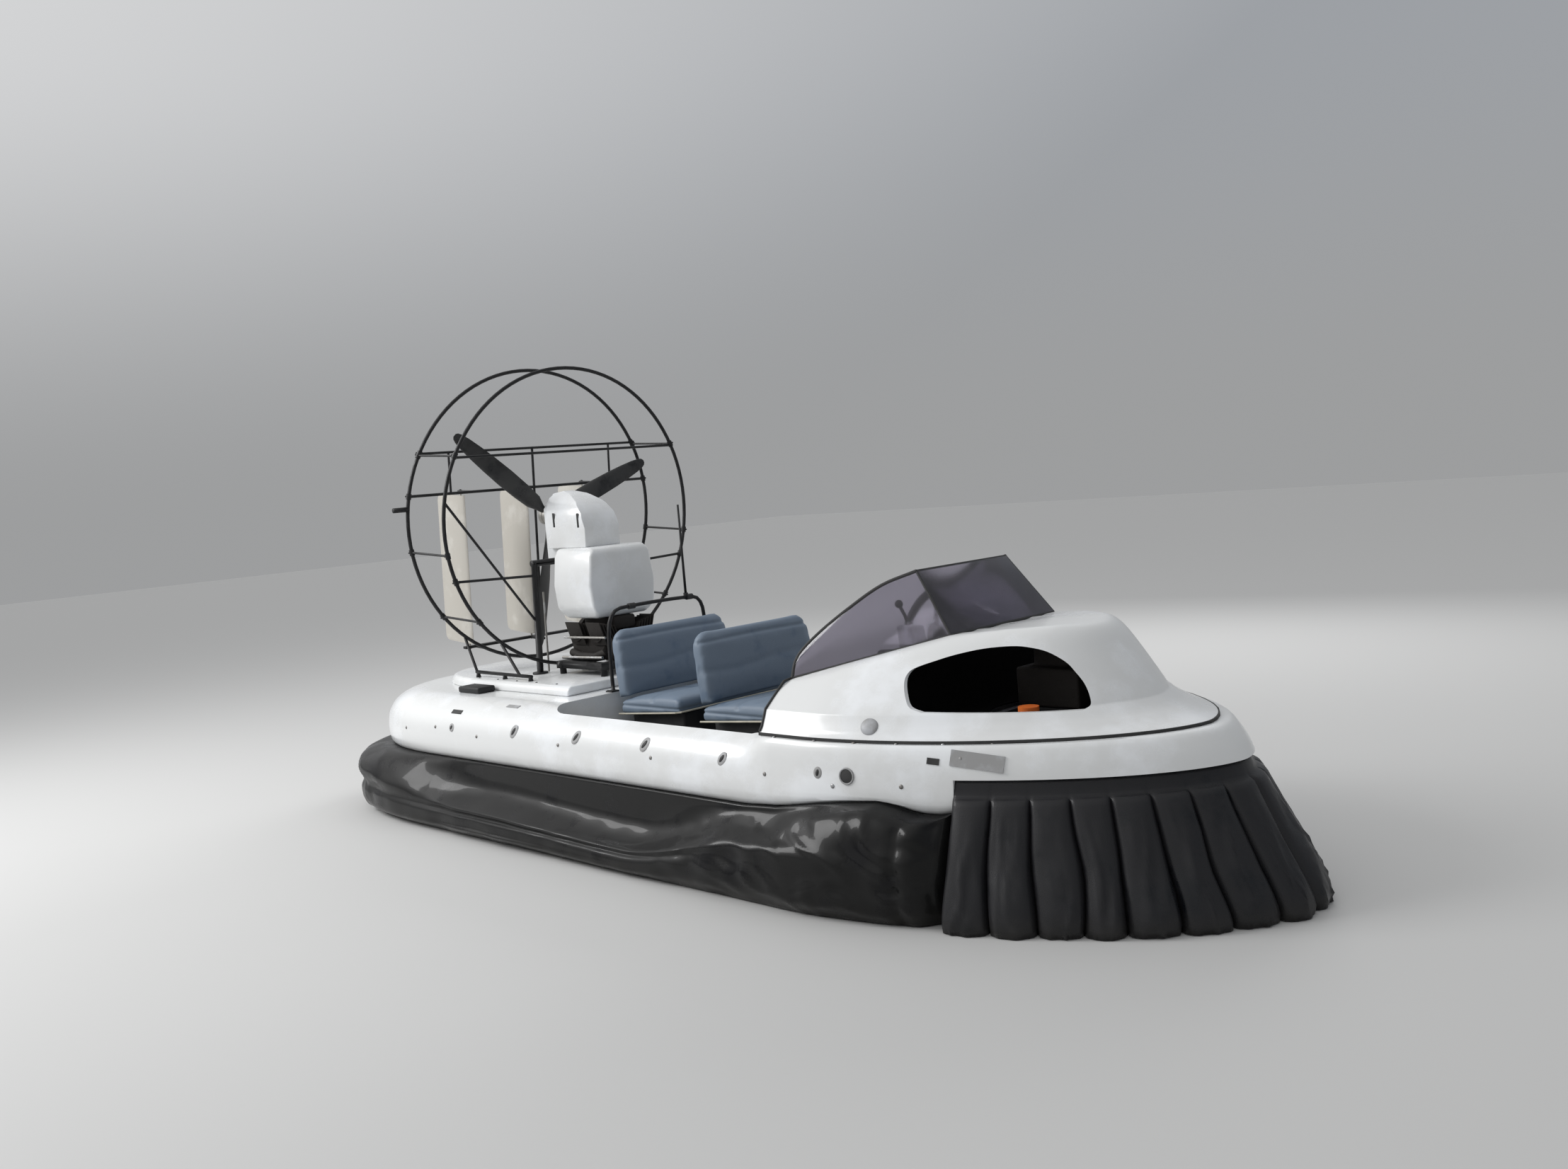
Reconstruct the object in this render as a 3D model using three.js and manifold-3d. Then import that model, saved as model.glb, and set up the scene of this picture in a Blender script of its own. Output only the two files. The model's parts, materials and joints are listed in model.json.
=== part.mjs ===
// A light leisure hovercraft: hull, bow cowl, seats, skirt, lift fan and air propeller.
// Millimetres, +X to the bow, +Y to port, +Z up, floor at Z = 0.
import * as THREE from 'three';
import { mergeVertices } from 'three/addons/utils/BufferGeometryUtils.js';
import Module from 'manifold-3d';

const wasm = await Module();
wasm.setup();

// Driving dimensions of the hull, seen from above
const BOW_START = 1200;
const BOW_REACH = 1600;
const STERN_START = -1700;
const STERN_REACH = 1150;
const HALF_BEAM = 960;
const BOW_POWER = 1.7;
const STERN_POWER = 3;

// Heights above the floor
const SKID_TOP = 40;
const HULL_EDGE = 400;
const BOW_EDGE = 580;
const DECK_TOP = 725;
const SHOULDER_TOP = 712;
const ENGINE_DECK_TOP = 780;
const FLOOR_TOP = 220;

// Running gap between two neighbouring pieces
const GAP = 0.3;

// Skirt
const BAG_BEAM = 1130;
const BAG_STERN = 3070;
const FINGER_OUT = 110;
const FINGER_FLARE = 2.013;
const STEP_X = 1940;

// Rubber strip in the seam between hull and cowl
const SEAM_OUTER = { beam: 908, bow: 2652, stern: 2600 };
const SEAM_INNER = { beam: 860, bow: 2604, stern: 2600 };

// Cowl
const COWL_AFT = 950;
const COWL_WALL = 14;
const BAY_AFT = 1500;

// Cockpit
const DASH_TOP = 1046;
const STEERING_TILT = THREE.MathUtils.degToRad(25);
const WHEEL_RADIUS = 140;
const HOOP_X = -780;
const HOOP_TOP = 1190;
const MAST_Y = 222;
const MAST_TOP = 1735;

// Lift fan
const FAN_X = 1960;
const DUCT_RADIUS = 330;
const DUCT_CORNER = 371;
const DUCT_SIDES = 8;
const FAN_BLADES = 8;
const FAN_TIP = DUCT_RADIUS - 13;

// Thrust unit: its own frame sits at the rear guard ring's centre and leans forward
const THRUST_X = -1900;
const THRUST_Z = 1740;
const THRUST_LEAN = THREE.MathUtils.degToRad(4.2);
const RING_RADIUS = 900;
const RING_SPACING = 392;
const RING_TUBE = 11;
const PROP_X = 150;
const PROP_RADIUS = 830;
const PROP_PARK = 51;
const SHAFT_RADIUS = 22;
const RUDDER_PLACES = [-460, 0, 460];
const PIN_LENGTH = 16;
const UPRIGHT_Y = 280;
const UPRIGHT_RADIUS = 20;
const UPRIGHT_TOP = -262;
const UPRIGHT_X = RING_SPACING - RING_TUBE - UPRIGHT_RADIUS - 2 * GAP;
const RUDDER_PIVOT_X = -120;
const RUDDER_TOP = 150;
const RUDDER_FOOT = -770;

// Covers over the thrust engine and its belt drive
const COVER_TOP = 1528;
const DRIVE_AFT = -1675;

// Finishes
const finish = (color, roughness, metalness = 0) =>
  new THREE.MeshStandardMaterial({ color, roughness, metalness });
const GELCOAT = finish(0xe9ecee, 0.25);
const BLACK_TUBE = finish(0x141517, 0.4, 0.2);
const SKIRT_FABRIC = finish(0x17181a, 0.45);
const VINYL = finish(0x6b7c90, 0.55);
const TINTED = finish(0x3d3c48, 0.1);
const RUDDER_WHITE = finish(0xd5d0c6, 0.5);
const BLADE_BLACK = finish(0x101012, 0.35);
const ENGINE_BLACK = finish(0x1d1d1f, 0.6, 0.3);
const ALLOY = finish(0x9a9c9e, 0.4, 0.8);
const PLASTIC = finish(0x25262a, 0.5);
const RUBBER_BLACK = finish(0x18191a, 0.6);
const PALE_BOX = finish(0xa9acb2, 0.5);

const hovercraft = new THREE.Group();
const thrust = new THREE.Group();
thrust.position.set(THRUST_X, 0, THRUST_Z);
thrust.rotation.y = THRUST_LEAN;
hovercraft.add(thrust);

// Solid helpers
function toSolid(geometry) {
  const plain = geometry.clone();
  for (const name of ['normal', 'uv']) plain.deleteAttribute(name);
  const merged = mergeVertices(plain, 1e-3);
  const mesh = new wasm.Mesh({
    numProp: 3,
    vertProperties: new Float32Array(merged.attributes.position.array),
    triVerts: new Uint32Array(merged.index.array),
  });
  return new wasm.Manifold(mesh);
}

function toGeometry(solid) {
  const mesh = solid.getMesh();
  const geometry = new THREE.BufferGeometry();
  geometry.setAttribute('position', new THREE.BufferAttribute(mesh.vertProperties, 3));
  geometry.setIndex(new THREE.BufferAttribute(mesh.triVerts, 1));
  return geometry;
}

function join(...geometries) {
  return toGeometry(geometries.map(toSolid).reduce((a, b) => a.add(b)));
}

function cut(geometry, ...tools) {
  return toGeometry(tools.map(toSolid).reduce((a, b) => a.subtract(b), toSolid(geometry)));
}

function common(a, b) {
  return toGeometry(toSolid(a).intersect(toSolid(b)));
}

function piece(name, geometry, material, parent = hovercraft) {
  const mesh = new THREE.Mesh(geometry, material);
  mesh.name = name;
  parent.add(mesh);
  return mesh;
}

function block(x0, x1, y0, y1, z0, z1) {
  const box = new THREE.BoxGeometry(x1 - x0, y1 - y0, z1 - z0);
  return box.translate((x0 + x1) / 2, (y0 + y1) / 2, (z0 + z1) / 2);
}

// A round bar between two points
function bar(from, to, radius, sides = 8) {
  const a = new THREE.Vector3(...from);
  const b = new THREE.Vector3(...to);
  const along = b.clone().sub(a);
  const rod = new THREE.CylinderGeometry(radius, radius, along.length(), sides);
  const turn = new THREE.Quaternion().setFromUnitVectors(
    new THREE.Vector3(0, 1, 0), along.normalize());
  return rod.applyQuaternion(turn).translate(...a.add(b).divideScalar(2).toArray());
}

// A tube bent along a smooth line through the given points
function bentTube(points, radius, steps, sides = 8) {
  const path = new THREE.CatmullRomCurve3(points.map((p) => new THREE.Vector3(...p)));
  const section = new THREE.Shape();
  for (let i = 0; i < sides; i++) {
    const turn = (i / sides) * Math.PI * 2;
    const at = [radius * Math.cos(turn), radius * Math.sin(turn)];
    if (i === 0) section.moveTo(...at);
    else section.lineTo(...at);
  }
  section.closePath();
  return new THREE.ExtrudeGeometry(section, { steps, extrudePath: path, bevelEnabled: false });
}

// An upright cylinder or cone
function post(x, y, z0, z1, radius, top = radius, sides = 24) {
  const cone = new THREE.CylinderGeometry(top, radius, z1 - z0, sides).rotateX(Math.PI / 2);
  return cone.translate(x, y, (z0 + z1) / 2);
}

// A side profile in X and Z, as wide as y0 to y1
function sideProfile(points, y0, y1) {
  const shape = new THREE.Shape(points.map(([x, z]) => new THREE.Vector2(x, z)));
  const body = new THREE.ExtrudeGeometry(shape, { depth: y1 - y0, bevelEnabled: false });
  return body.rotateX(Math.PI / 2).translate(0, y1, 0);
}

// A front profile in Y and Z, as long as x0 to x1
function frontProfile(points, x0, x1) {
  const shape = new THREE.Shape(points.map(([y, z]) => new THREE.Vector2(y, z)));
  const body = new THREE.ExtrudeGeometry(shape, { depth: x1 - x0, bevelEnabled: false });
  return body.rotateX(Math.PI / 2).rotateZ(Math.PI / 2).translate(x0, 0, 0);
}

// A half outline of Y and Z with its mirror image
function mirrored(points) {
  return [...points, ...points.map(([y, z]) => [-y, z]).reverse()];
}

// A plan outline in X and Y, from z0 up to z1
function planPrism(points, z0, z1) {
  const shape = new THREE.Shape(points.map(([x, y]) => new THREE.Vector2(x, y)));
  const body = new THREE.ExtrudeGeometry(shape, { depth: z1 - z0, bevelEnabled: false });
  return body.translate(0, 0, z0);
}

// A skin through closed loops that have the same number of points, with flat ends
function loft(loops) {
  const count = loops[0].length;
  const position = loops.flat().flatMap((p) => [p.x, p.y, p.z]);
  const index = [];
  for (let row = 0; row < loops.length - 1; row++) {
    for (let i = 0; i < count; i++) {
      const next = (i + 1) % count;
      const [a, b] = [row * count + i, row * count + next];
      const [c, d] = [a + count, b + count];
      index.push(a, b, d, a, d, c);
    }
  }
  const last = (loops.length - 1) * count;
  for (const [base, loop, flip] of [[0, loops[0], true], [last, loops.at(-1), false]]) {
    const flat = flatten(loop);
    for (const [a, b, c] of THREE.ShapeUtils.triangulateShape(flat, [])) {
      if (flip) index.push(base + a, base + c, base + b);
      else index.push(base + a, base + b, base + c);
    }
  }
  const geometry = new THREE.BufferGeometry();
  geometry.setAttribute('position', new THREE.Float32BufferAttribute(position, 3));
  geometry.setIndex(index);
  return geometry;
}

// A planar loop's points in its own plane, turning the same way as the loop
function flatten(loop) {
  const centre = loop.reduce((sum, p) => sum.add(p), new THREE.Vector3()).divideScalar(loop.length);
  const normal = new THREE.Vector3();
  loop.forEach((p, i) => {
    const next = loop[(i + 1) % loop.length];
    normal.add(p.clone().sub(centre).cross(next.clone().sub(centre)));
  });
  const turn = new THREE.Quaternion().setFromUnitVectors(
    normal.normalize(), new THREE.Vector3(0, 0, 1));
  return loop.map((p) => {
    const flat = p.clone().sub(centre).applyQuaternion(turn);
    return new THREE.Vector2(flat.x, flat.y);
  });
}

// Half angles of the plan outline: bow from the centreline round to port, then stern
const BOW_STEPS = 14;
const STERN_STEPS = 9;

// The hull's plan outline: rounded bow, parallel middle and rounded stern
function outline({ beam, bow, stern, bowPower = BOW_POWER, sternPower = STERN_POWER }) {
  const quarter = (steps, reach, power, sign, start) =>
    Array.from({ length: steps + 1 }, (_, i) => {
      const turn = (i / steps) * (Math.PI / 2);
      return [
        start + sign * reach * Math.cos(turn) ** (2 / power),
        beam * Math.sin(turn) ** (2 / power),
      ];
    });
  const front = quarter(BOW_STEPS, bow - BOW_START, bowPower, 1, BOW_START);
  const back = quarter(STERN_STEPS, stern + STERN_START, sternPower, -1, STERN_START).reverse();
  const port = [...front, ...back];
  const starboard = port.slice(1, -1).reverse().map(([x, y]) => [x, -y]);
  return [...port, ...starboard];
}

// The hull's outline drawn in by an inset
function inset(amount) {
  return {
    beam: HALF_BEAM - amount,
    bow: BOW_START + BOW_REACH - amount,
    stern: -STERN_START + STERN_REACH - amount,
  };
}

// A body stacked from level outlines: rows of height and outline
function stack(levels) {
  return loft(levels.map(([z, form]) => outline(form).map(([x, y]) => new THREE.Vector3(x, y, z))));
}

// Cockpit opening, seen from above
const COCKPIT = {
  aft: -770,
  fore: 1440,
  half: 845,
  corner: 160,
};

function roundedRectangle(x0, x1, half, corner) {
  const points = [];
  const corners = [
    [x1 - corner, half - corner, 0],
    [x0 + corner, half - corner, 90],
    [x0 + corner, -half + corner, 180],
    [x1 - corner, -half + corner, 270],
  ];
  for (const [x, y, start] of corners) {
    for (const step of [0, 45, 90]) {
      const turn = THREE.MathUtils.degToRad(start + step);
      points.push([x + corner * Math.cos(turn), y + corner * Math.sin(turn)]);
    }
  }
  return points;
}

// The gunwale's lower edge sweeps up ahead of the cockpit: X and rise
const EDGE_SWEEP = [
  [860, 0], [1080, 14], [1300, 50], [1450, 68], [1620, 80], [1700, 64], [1790, 38], [1890, 34],
  [STEP_X - 2, 50],
];

function underSweep(drop) {
  return sideProfile([
    [860, 380], ...EDGE_SWEEP.map(([x, rise]) => [x, HULL_EDGE + rise - drop]), [STEP_X - 2, 380],
  ], -1300, 1300);
}

function buildHull() {
  const cockpit = roundedRectangle(COCKPIT.aft, COCKPIT.fore, COCKPIT.half, COCKPIT.corner);
  const well = roundedRectangle(COCKPIT.aft + 40, COCKPIT.fore - 40, 690, 120);
  const hole = DUCT_CORNER + GAP / Math.cos(Math.PI / DUCT_SIDES);
  const duct = post(FAN_X, 0, -10, 900, hole, hole, DUCT_SIDES);
  const panLevels = [
    // height, inset
    [SKID_TOP + GAP, 330],
    [90, 290],
    [240, 200],
    [HULL_EDGE - GAP, 102],
  ];
  const pan = stack(panLevels.map(([z, amount]) => [z, inset(amount)]));
  const wellCut = planPrism(well, FLOOR_TOP, HULL_EDGE + 10);
  piece('hull_pan', cut(pan, wellCut, duct), GELCOAT);

  const deckLevels = [
    // height, inset: the gunwale's rounded side
    [HULL_EDGE, 26],
    [430, 6],
    [500, 0],
    [570, 8],
    [630, 34],
    [675, 74],
    [704, 124],
    [720, 180],
    [DECK_TOP, 240],
  ];
  const deck = stack(deckLevels.map(([z, amount]) => [z, inset(amount)]));
  const bowBox = block(STEP_X, 3200, -1200, 1200, HULL_EDGE - 10, BOW_EDGE);
  const bowCore = stack([[HULL_EDGE - 20, inset(140)], [BOW_EDGE + 10, inset(140)]]);
  const bowTrim = cut(bowBox, bowCore);
  const cockpitCut = planPrism(cockpit, HULL_EDGE - 10, DECK_TOP + 10);
  // Fuller shoulders that carry the cowl, rising from the gunwale just behind it
  const shoulderLevels = [
    // height, inset, how much further the bow end is drawn back
    [500, 0.5, 0],
    [580, 4, 0],
    [650, 12, 30],
    [692, 22, 54],
    [SHOULDER_TOP, 34, 70],
  ];
  const shoulder = common(
    stack(shoulderLevels.map(([z, amount, back]) => {
      const form = inset(amount);
      return [z, { ...form, bow: form.bow - back }];
    })),
    sideProfile([
      [420, 500], [3200, 500], [3200, 800], [COWL_AFT, 800], [COWL_AFT - 60, 700],
    ], -1200, 1200),
  );
  const sweep = cut(underSweep(0), stack([[300, inset(100)], [600, inset(100)]]));
  piece('hull_deck', cut(join(deck, shoulder), bowTrim, sweep, cockpitCut, duct), GELCOAT);

  const crown = stack(deckLevels.slice(-3).map(([z, amount]) => [z + GAP, inset(amount - GAP)]));
  const seam = cut(
    stack([[SHOULDER_TOP + GAP, SEAM_OUTER], [DECK_TOP, SEAM_OUTER]]),
    stack([[600, SEAM_INNER], [900, SEAM_INNER]]),
    crown,
    block(-3200, COWL_AFT, -1200, 1200, 600, 900),
  );
  piece('joint_strip', seam, RUBBER_BLACK);

  const engineDeck = stack([
    // height, outline
    [DECK_TOP + GAP, { beam: 580, bow: 3000, stern: 2500 }],
    [ENGINE_DECK_TOP - 16, { beam: 570, bow: 3000, stern: 2490 }],
    [ENGINE_DECK_TOP, { beam: 552, bow: 3000, stern: 2470 }],
  ]);
  piece('engine_deck', cut(engineDeck, block(-930, 3200, -900, 900, 700, 900)), GELCOAT);

  piece('stern_pad', block(-1850, -1630, -712, -592, DECK_TOP + GAP, 762), PLASTIC);

  for (const [side, y] of [['port', 330], ['starboard', -330]]) {
    const runner = sideProfile([
      [-1900, 0], [1350, 0], [1480, SKID_TOP], [-2000, SKID_TOP],
    ], y - 60, y + 60);
    piece(`skid_${side}`, runner, PLASTIC);
  }
}

function buildSkirt() {
  // The bag's section: distance outside the hull's plan line against height
  const bagLevels = [
    // height, outward
    [4, 60],
    [40, 126],
    [120, 164],
    [220, BAG_BEAM - HALF_BEAM],
    [300, 140],
    [360, 86],
    [HULL_EDGE - GAP * 2, 4],
  ];
  const scale = (BAG_STERN - (-STERN_START + STERN_REACH)) / (BAG_BEAM - HALF_BEAM);
  const bagOuter = stack(bagLevels.map(([z, out]) => {
    const form = inset(-out);
    return [z, { ...form, stern: -STERN_START + STERN_REACH + out * scale }];
  }));
  const bagInner = stack([
    // height, inset
    [-10, inset(60)],
    [230, inset(90)],
    [HULL_EDGE + 10, inset(97)],
  ]);
  const bowSide = block(STEP_X - 12, 3400, -1400, 1400, -20, 500);
  const lip = cut(
    common(stack([[390, inset(-2)], [470, inset(16)]]), underSweep(GAP * 2)),
    stack([[380, inset(92)], [480, inset(92)]]),
  );
  piece('skirt_bag', cut(join(bagOuter, lip), bagInner, bowSide), SKIRT_FABRIC);
  buildFingers();
}

// Bow skirt: a band under the bow edge with rounded fingers that flare out and down
const FINGER_COUNT = 16;
const FINGER_POINTS = 6;

// Points evenly spaced along the bow line, from the port step round to the starboard step
function bowLine(outward, count) {
  const beam = HALF_BEAM + outward;
  const reach = BOW_REACH + outward * FINGER_FLARE;
  const end = Math.acos(((STEP_X - BOW_START) / reach) ** (BOW_POWER / 2));
  const points = Array.from({ length: 2 * BOW_STEPS + 1 }, (_, i) => {
    const turn = end * (1 - i / BOW_STEPS);
    const across = Math.sign(turn) * Math.abs(Math.sin(turn)) ** (2 / BOW_POWER);
    return new THREE.Vector2(
      BOW_START + reach * Math.cos(turn) ** (2 / BOW_POWER), beam * across);
  });
  return new THREE.SplineCurve(points).getSpacedPoints(count);
}

function fingerLoop(outward, depth, z) {
  const points = bowLine(outward, FINGER_COUNT * FINGER_POINTS);
  return points.map((p, i) => {
    const phase = (i % FINGER_POINTS) / FINGER_POINTS;
    const bulge = depth * Math.sqrt(Math.sin(Math.PI * phase));
    const ahead = points[Math.min(i + 1, points.length - 1)];
    const along = ahead.clone().sub(points[Math.max(i - 1, 0)]).normalize();
    return new THREE.Vector3(p.x - bulge * along.y, p.y + bulge * along.x, z);
  });
}

function buildFingers() {
  const rows = [
    // height, outward of the fingers' root line, lobe depth, outward of the inner face
    [4, FINGER_OUT, 56, FINGER_OUT - 34],
    [60, FINGER_OUT, 62, FINGER_OUT - 40],
    [300, 50, 52, 6],
    [470, 4, 32, -40],
    [BOW_EDGE - GAP * 2, -16, 6, -46],
  ];
  const loops = rows.map(([z, out, depth, inside]) => [
    ...fingerLoop(out, depth, z),
    ...bowLine(inside, FINGER_COUNT).map((p) => new THREE.Vector3(p.x, p.y, z)).reverse(),
  ].reverse());
  piece('skirt_fingers', loft(loops), SKIRT_FABRIC);
}

// Cowl wall: plan outline at each height
function cowlForm(z, draw = 0) {
  const rows = [
    // height, half width, bow end, roundness
    [DECK_TOP, 900, 2643, 1.7],
    [745, 884, 2570, 1.7],
    [780, 868, 2480, 1.7],
    [818, 852, 2420, 1.7],
    [930, 716, 2346, 1.8],
    [1050, 575, 2254, 2],
    [1240, 352, 2105, 2.3],
  ];
  let row = 0;
  while (row < rows.length - 2 && z > rows[row + 1][0]) row++;
  const [low, high] = [rows[row], rows[row + 1]];
  const share = (z - low[0]) / (high[0] - low[0]);
  const [, beam, bow, bowPower] = low.map((v, i) => v + share * (high[i] - v));
  return { beam: beam - draw, bow: bow - draw, stern: 2000, bowPower };
}

const COWL_LEVELS = [DECK_TOP, 745, 780, 818, 870, 930, 990, 1050, 1120, 1240];

// Roof line, from the windscreen's aft corner to the bow
const ROOF = [
  [400, 796], [COWL_AFT, 930], [1670, 1106], [1900, 1124], [2080, 1128], [2190, 1116], [3000, 1000],
];
const SCREEN = {
  baseFore: [1664, 392, 1105.3],
  baseAft: [COWL_AFT + 6, 672, 932.2],
  topFore: [1452, 334, 1380],
  // side pane's curved upper edge: X and Z
  edge: [[1300, 1324], [1168, 1232], [1054, 1136], [980, 1056], [954, 1000]],
};
const PANE = 6;

// Air intake on each side: X and Z of a D lying on its flat side
const INTAKE_INNER = 200;
const INTAKE = [
  [1734, 828], [2276, 806], [2288, 820], [2278, 850], [2250, 899], [2211, 947], [2169, 991],
  [2102, 1034], [2038, 1055], [1973, 1064], [1870, 1059], [1765, 1039], [1687, 1016],
  [1614, 990], [1594, 966], [1602, 932], [1637, 884], [1677, 846],
];

function buildCowl() {
  const outer = stack(COWL_LEVELS.map((z) => [z + GAP, cowlForm(z)]));
  const roof = sideProfile([...ROOF, [3000, 700], [400, 700]], -1200, 1200);
  const inner = stack(COWL_LEVELS.map((z) => [z - 12, cowlForm(z, COWL_WALL)]));
  const innerRoof = sideProfile([
    ...ROOF.map(([x, z]) => [x, z - COWL_WALL]), [3000, 600], [400, 600],
  ], -1200, 1200);
  const shell = cut(common(outer, roof), common(inner, innerRoof));
  const aftCut = block(-3200, COWL_AFT, -1300, 1300, 600, 1400);
  const cockpitCut = planPrism([
    [300, -650], [COWL_AFT, -650], [1640, -368], [1640, 368], [COWL_AFT, 650], [300, 650],
  ], 800, 1400);
  const intakes = [-1, 1].map((side) => {
    const [y0, y1] = [side * INTAKE_INNER, side * 1200].sort((a, b) => a - b);
    return sideProfile(INTAKE, y0, y1);
  });
  piece('bow_cowl', cut(shell, aftCut, cockpitCut, ...intakes), GELCOAT);

  // Wall between cockpit and lift bay
  const wall = common(
    block(BAY_AFT, BAY_AFT + 12, -1000, 1000, DECK_TOP + GAP, 1050),
    stack(COWL_LEVELS.map((z) => [z - 12, cowlForm(z, COWL_WALL + GAP)])),
  );
  piece('bulkhead', wall, GELCOAT);
}

// A flat pane: corners in order, thickened to the given side
function pane(corners, thickness, direction) {
  const away = new THREE.Vector3(...direction).multiplyScalar(thickness);
  const near = corners.map((p) => new THREE.Vector3(...p));
  const far = near.map((p) => p.clone().add(away));
  const solid = toSolid(loft([near, far]));
  return solid.volume() > 0 ? loft([near, far]) : loft([far, near]);
}

function buildScreen() {
  const [fx, fy, fz] = SCREEN.baseFore;
  const [tx, ty, tz] = SCREEN.topFore;
  const front = [[fx, fy, fz], [fx, -fy, fz], [tx, -ty, tz], [tx, ty, tz]];
  const rake = new THREE.Vector2(tz - fz, fx - tx).normalize();
  piece('windscreen_front', pane(front, PANE, [rake.x, 0, rake.y]), TINTED);
  const a = new THREE.Vector3(...SCREEN.baseFore);
  const normal = new THREE.Vector3(...SCREEN.baseAft).sub(a)
    .cross(new THREE.Vector3(...SCREEN.topFore).sub(a)).normalize();
  const onPlane = ([x, z]) => [x, a.y - (normal.x * (x - a.x) + normal.z * (z - a.z)) / normal.y, z];
  const corners = [
    SCREEN.baseFore, SCREEN.topFore, ...SCREEN.edge.map(onPlane), SCREEN.baseAft,
  ];
  for (const [side, sign] of [['port', 1], ['starboard', -1]]) {
    const points = corners.map(([x, y, z]) => [x - 1, sign * (y - 1), z]);
    const outward = normal.clone().multiplyScalar(Math.sign(normal.y));
    piece(`windscreen_${side}`,
      pane(points, PANE, [outward.x, sign * outward.y, outward.z]), TINTED);
  }
}

function buildCockpit() {
  const dash = common(
    sideProfile([
      [1280, 1000], [1300, DASH_TOP], [BAY_AFT - GAP, DASH_TOP],
      [BAY_AFT - GAP, 760], [1420, 760], [1400, 940],
    ], -500, 500),
    planPrism([[1200, -500], [1300, -470], [1600, -390], [1600, 390], [1300, 470], [1200, 500]], 700, 1100),
  );
  piece('dashboard', dash, PLASTIC);
  piece('throttle_box', block(1290, 1370, -330, -250, DASH_TOP + GAP, 1130), PALE_BOX);

  const wheelAt = new THREE.Vector3(1150, 0, 1078);
  const place = (geometry) =>
    geometry.rotateY(STEERING_TILT).translate(wheelAt.x, wheelAt.y, wheelAt.z);
  const column = place(new THREE.CylinderGeometry(18, 18, 160, 16)
    .rotateZ(Math.PI / 2).translate(96, 0, 0));
  const dashFace = sideProfile([
    [1280 - GAP, 1000], [1300 - GAP, DASH_TOP + GAP], [1500, DASH_TOP + GAP], [1500, 700], [1400, 940],
  ], -500, 500);
  piece('steering_column', cut(column, dashFace), BLACK_TUBE);
  const wheelParts = [
    new THREE.TorusGeometry(WHEEL_RADIUS, 13, 8, 32).rotateY(Math.PI / 2),
    new THREE.CylinderGeometry(34, 34, 30, 16).rotateZ(Math.PI / 2),
  ];
  for (const turn of [90, 210, 330]) {
    const angle = THREE.MathUtils.degToRad(turn);
    const rim = [0, WHEEL_RADIUS * Math.cos(angle), WHEEL_RADIUS * Math.sin(angle)];
    wheelParts.push(bar([0, 0, 0], rim, 8, 6));
  }
  piece('steering_wheel', place(join(...wheelParts)), RUBBER_BLACK);

  const seats = [
    // name, X of the backrest's foot
    ['front', 40],
    ['rear', -640],
  ];
  for (const [name, x] of seats) {
    const cushion = sideProfile([
      [x - 60, 604], [x + 460, 640], [x + 470, 700], [x + 440, 730], [x + 40, 706], [x - 60, 690],
    ], -420, 420);
    piece(`seat_${name}_cushion`, cushion, VINYL);
    const back = sideProfile([
      [x - 60, 690.3], [x + 34, 705.34], [x + 16, 900], [x - 20, 1080], [x - 60, 1096],
      [x - 90, 1070], [x - 80, 900],
    ], -420, 420);
    piece(`seat_${name}_back`, back, VINYL);
    const base = sideProfile([
      [x - 40, FLOOR_TOP + GAP], [x + 380, FLOOR_TOP + GAP], [x + 400, 635], [x - 40, 604.6],
    ], -330, 330);
    piece(`seat_${name}_base`, base, PLASTIC);
  }
}

function buildSeatHoop() {
  const leg = [
    // X, Y, Z up the starboard leg
    [HOOP_X - 14, -362, DECK_TOP + 4], [HOOP_X - 14, -362, 860], [HOOP_X - 10, -358, 1060],
    [HOOP_X - 6, -340, 1140], [HOOP_X - 2, -300, HOOP_TOP - 10], [HOOP_X, -200, HOOP_TOP],
  ];
  const far = leg.map(([x, y, z]) => [x, -y, z]).reverse();
  const hoop = bentTube([...leg, ...far], 11, 40);
  const feet = [-362, 362].map((y) => block(-828, -772, y - 28, y + 28, DECK_TOP + GAP, DECK_TOP + 8));
  const socket = post(HOOP_X, MAST_Y, HOOP_TOP - 12, HOOP_TOP + 26, 14, 14, 12);
  piece('seat_hoop', join(hoop, ...feet, socket), BLACK_TUBE);
  piece('radio_mast', post(HOOP_X, MAST_Y, HOOP_TOP + 26 + GAP, MAST_TOP, 8, 6, 10), BLACK_TUBE);
}

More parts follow.
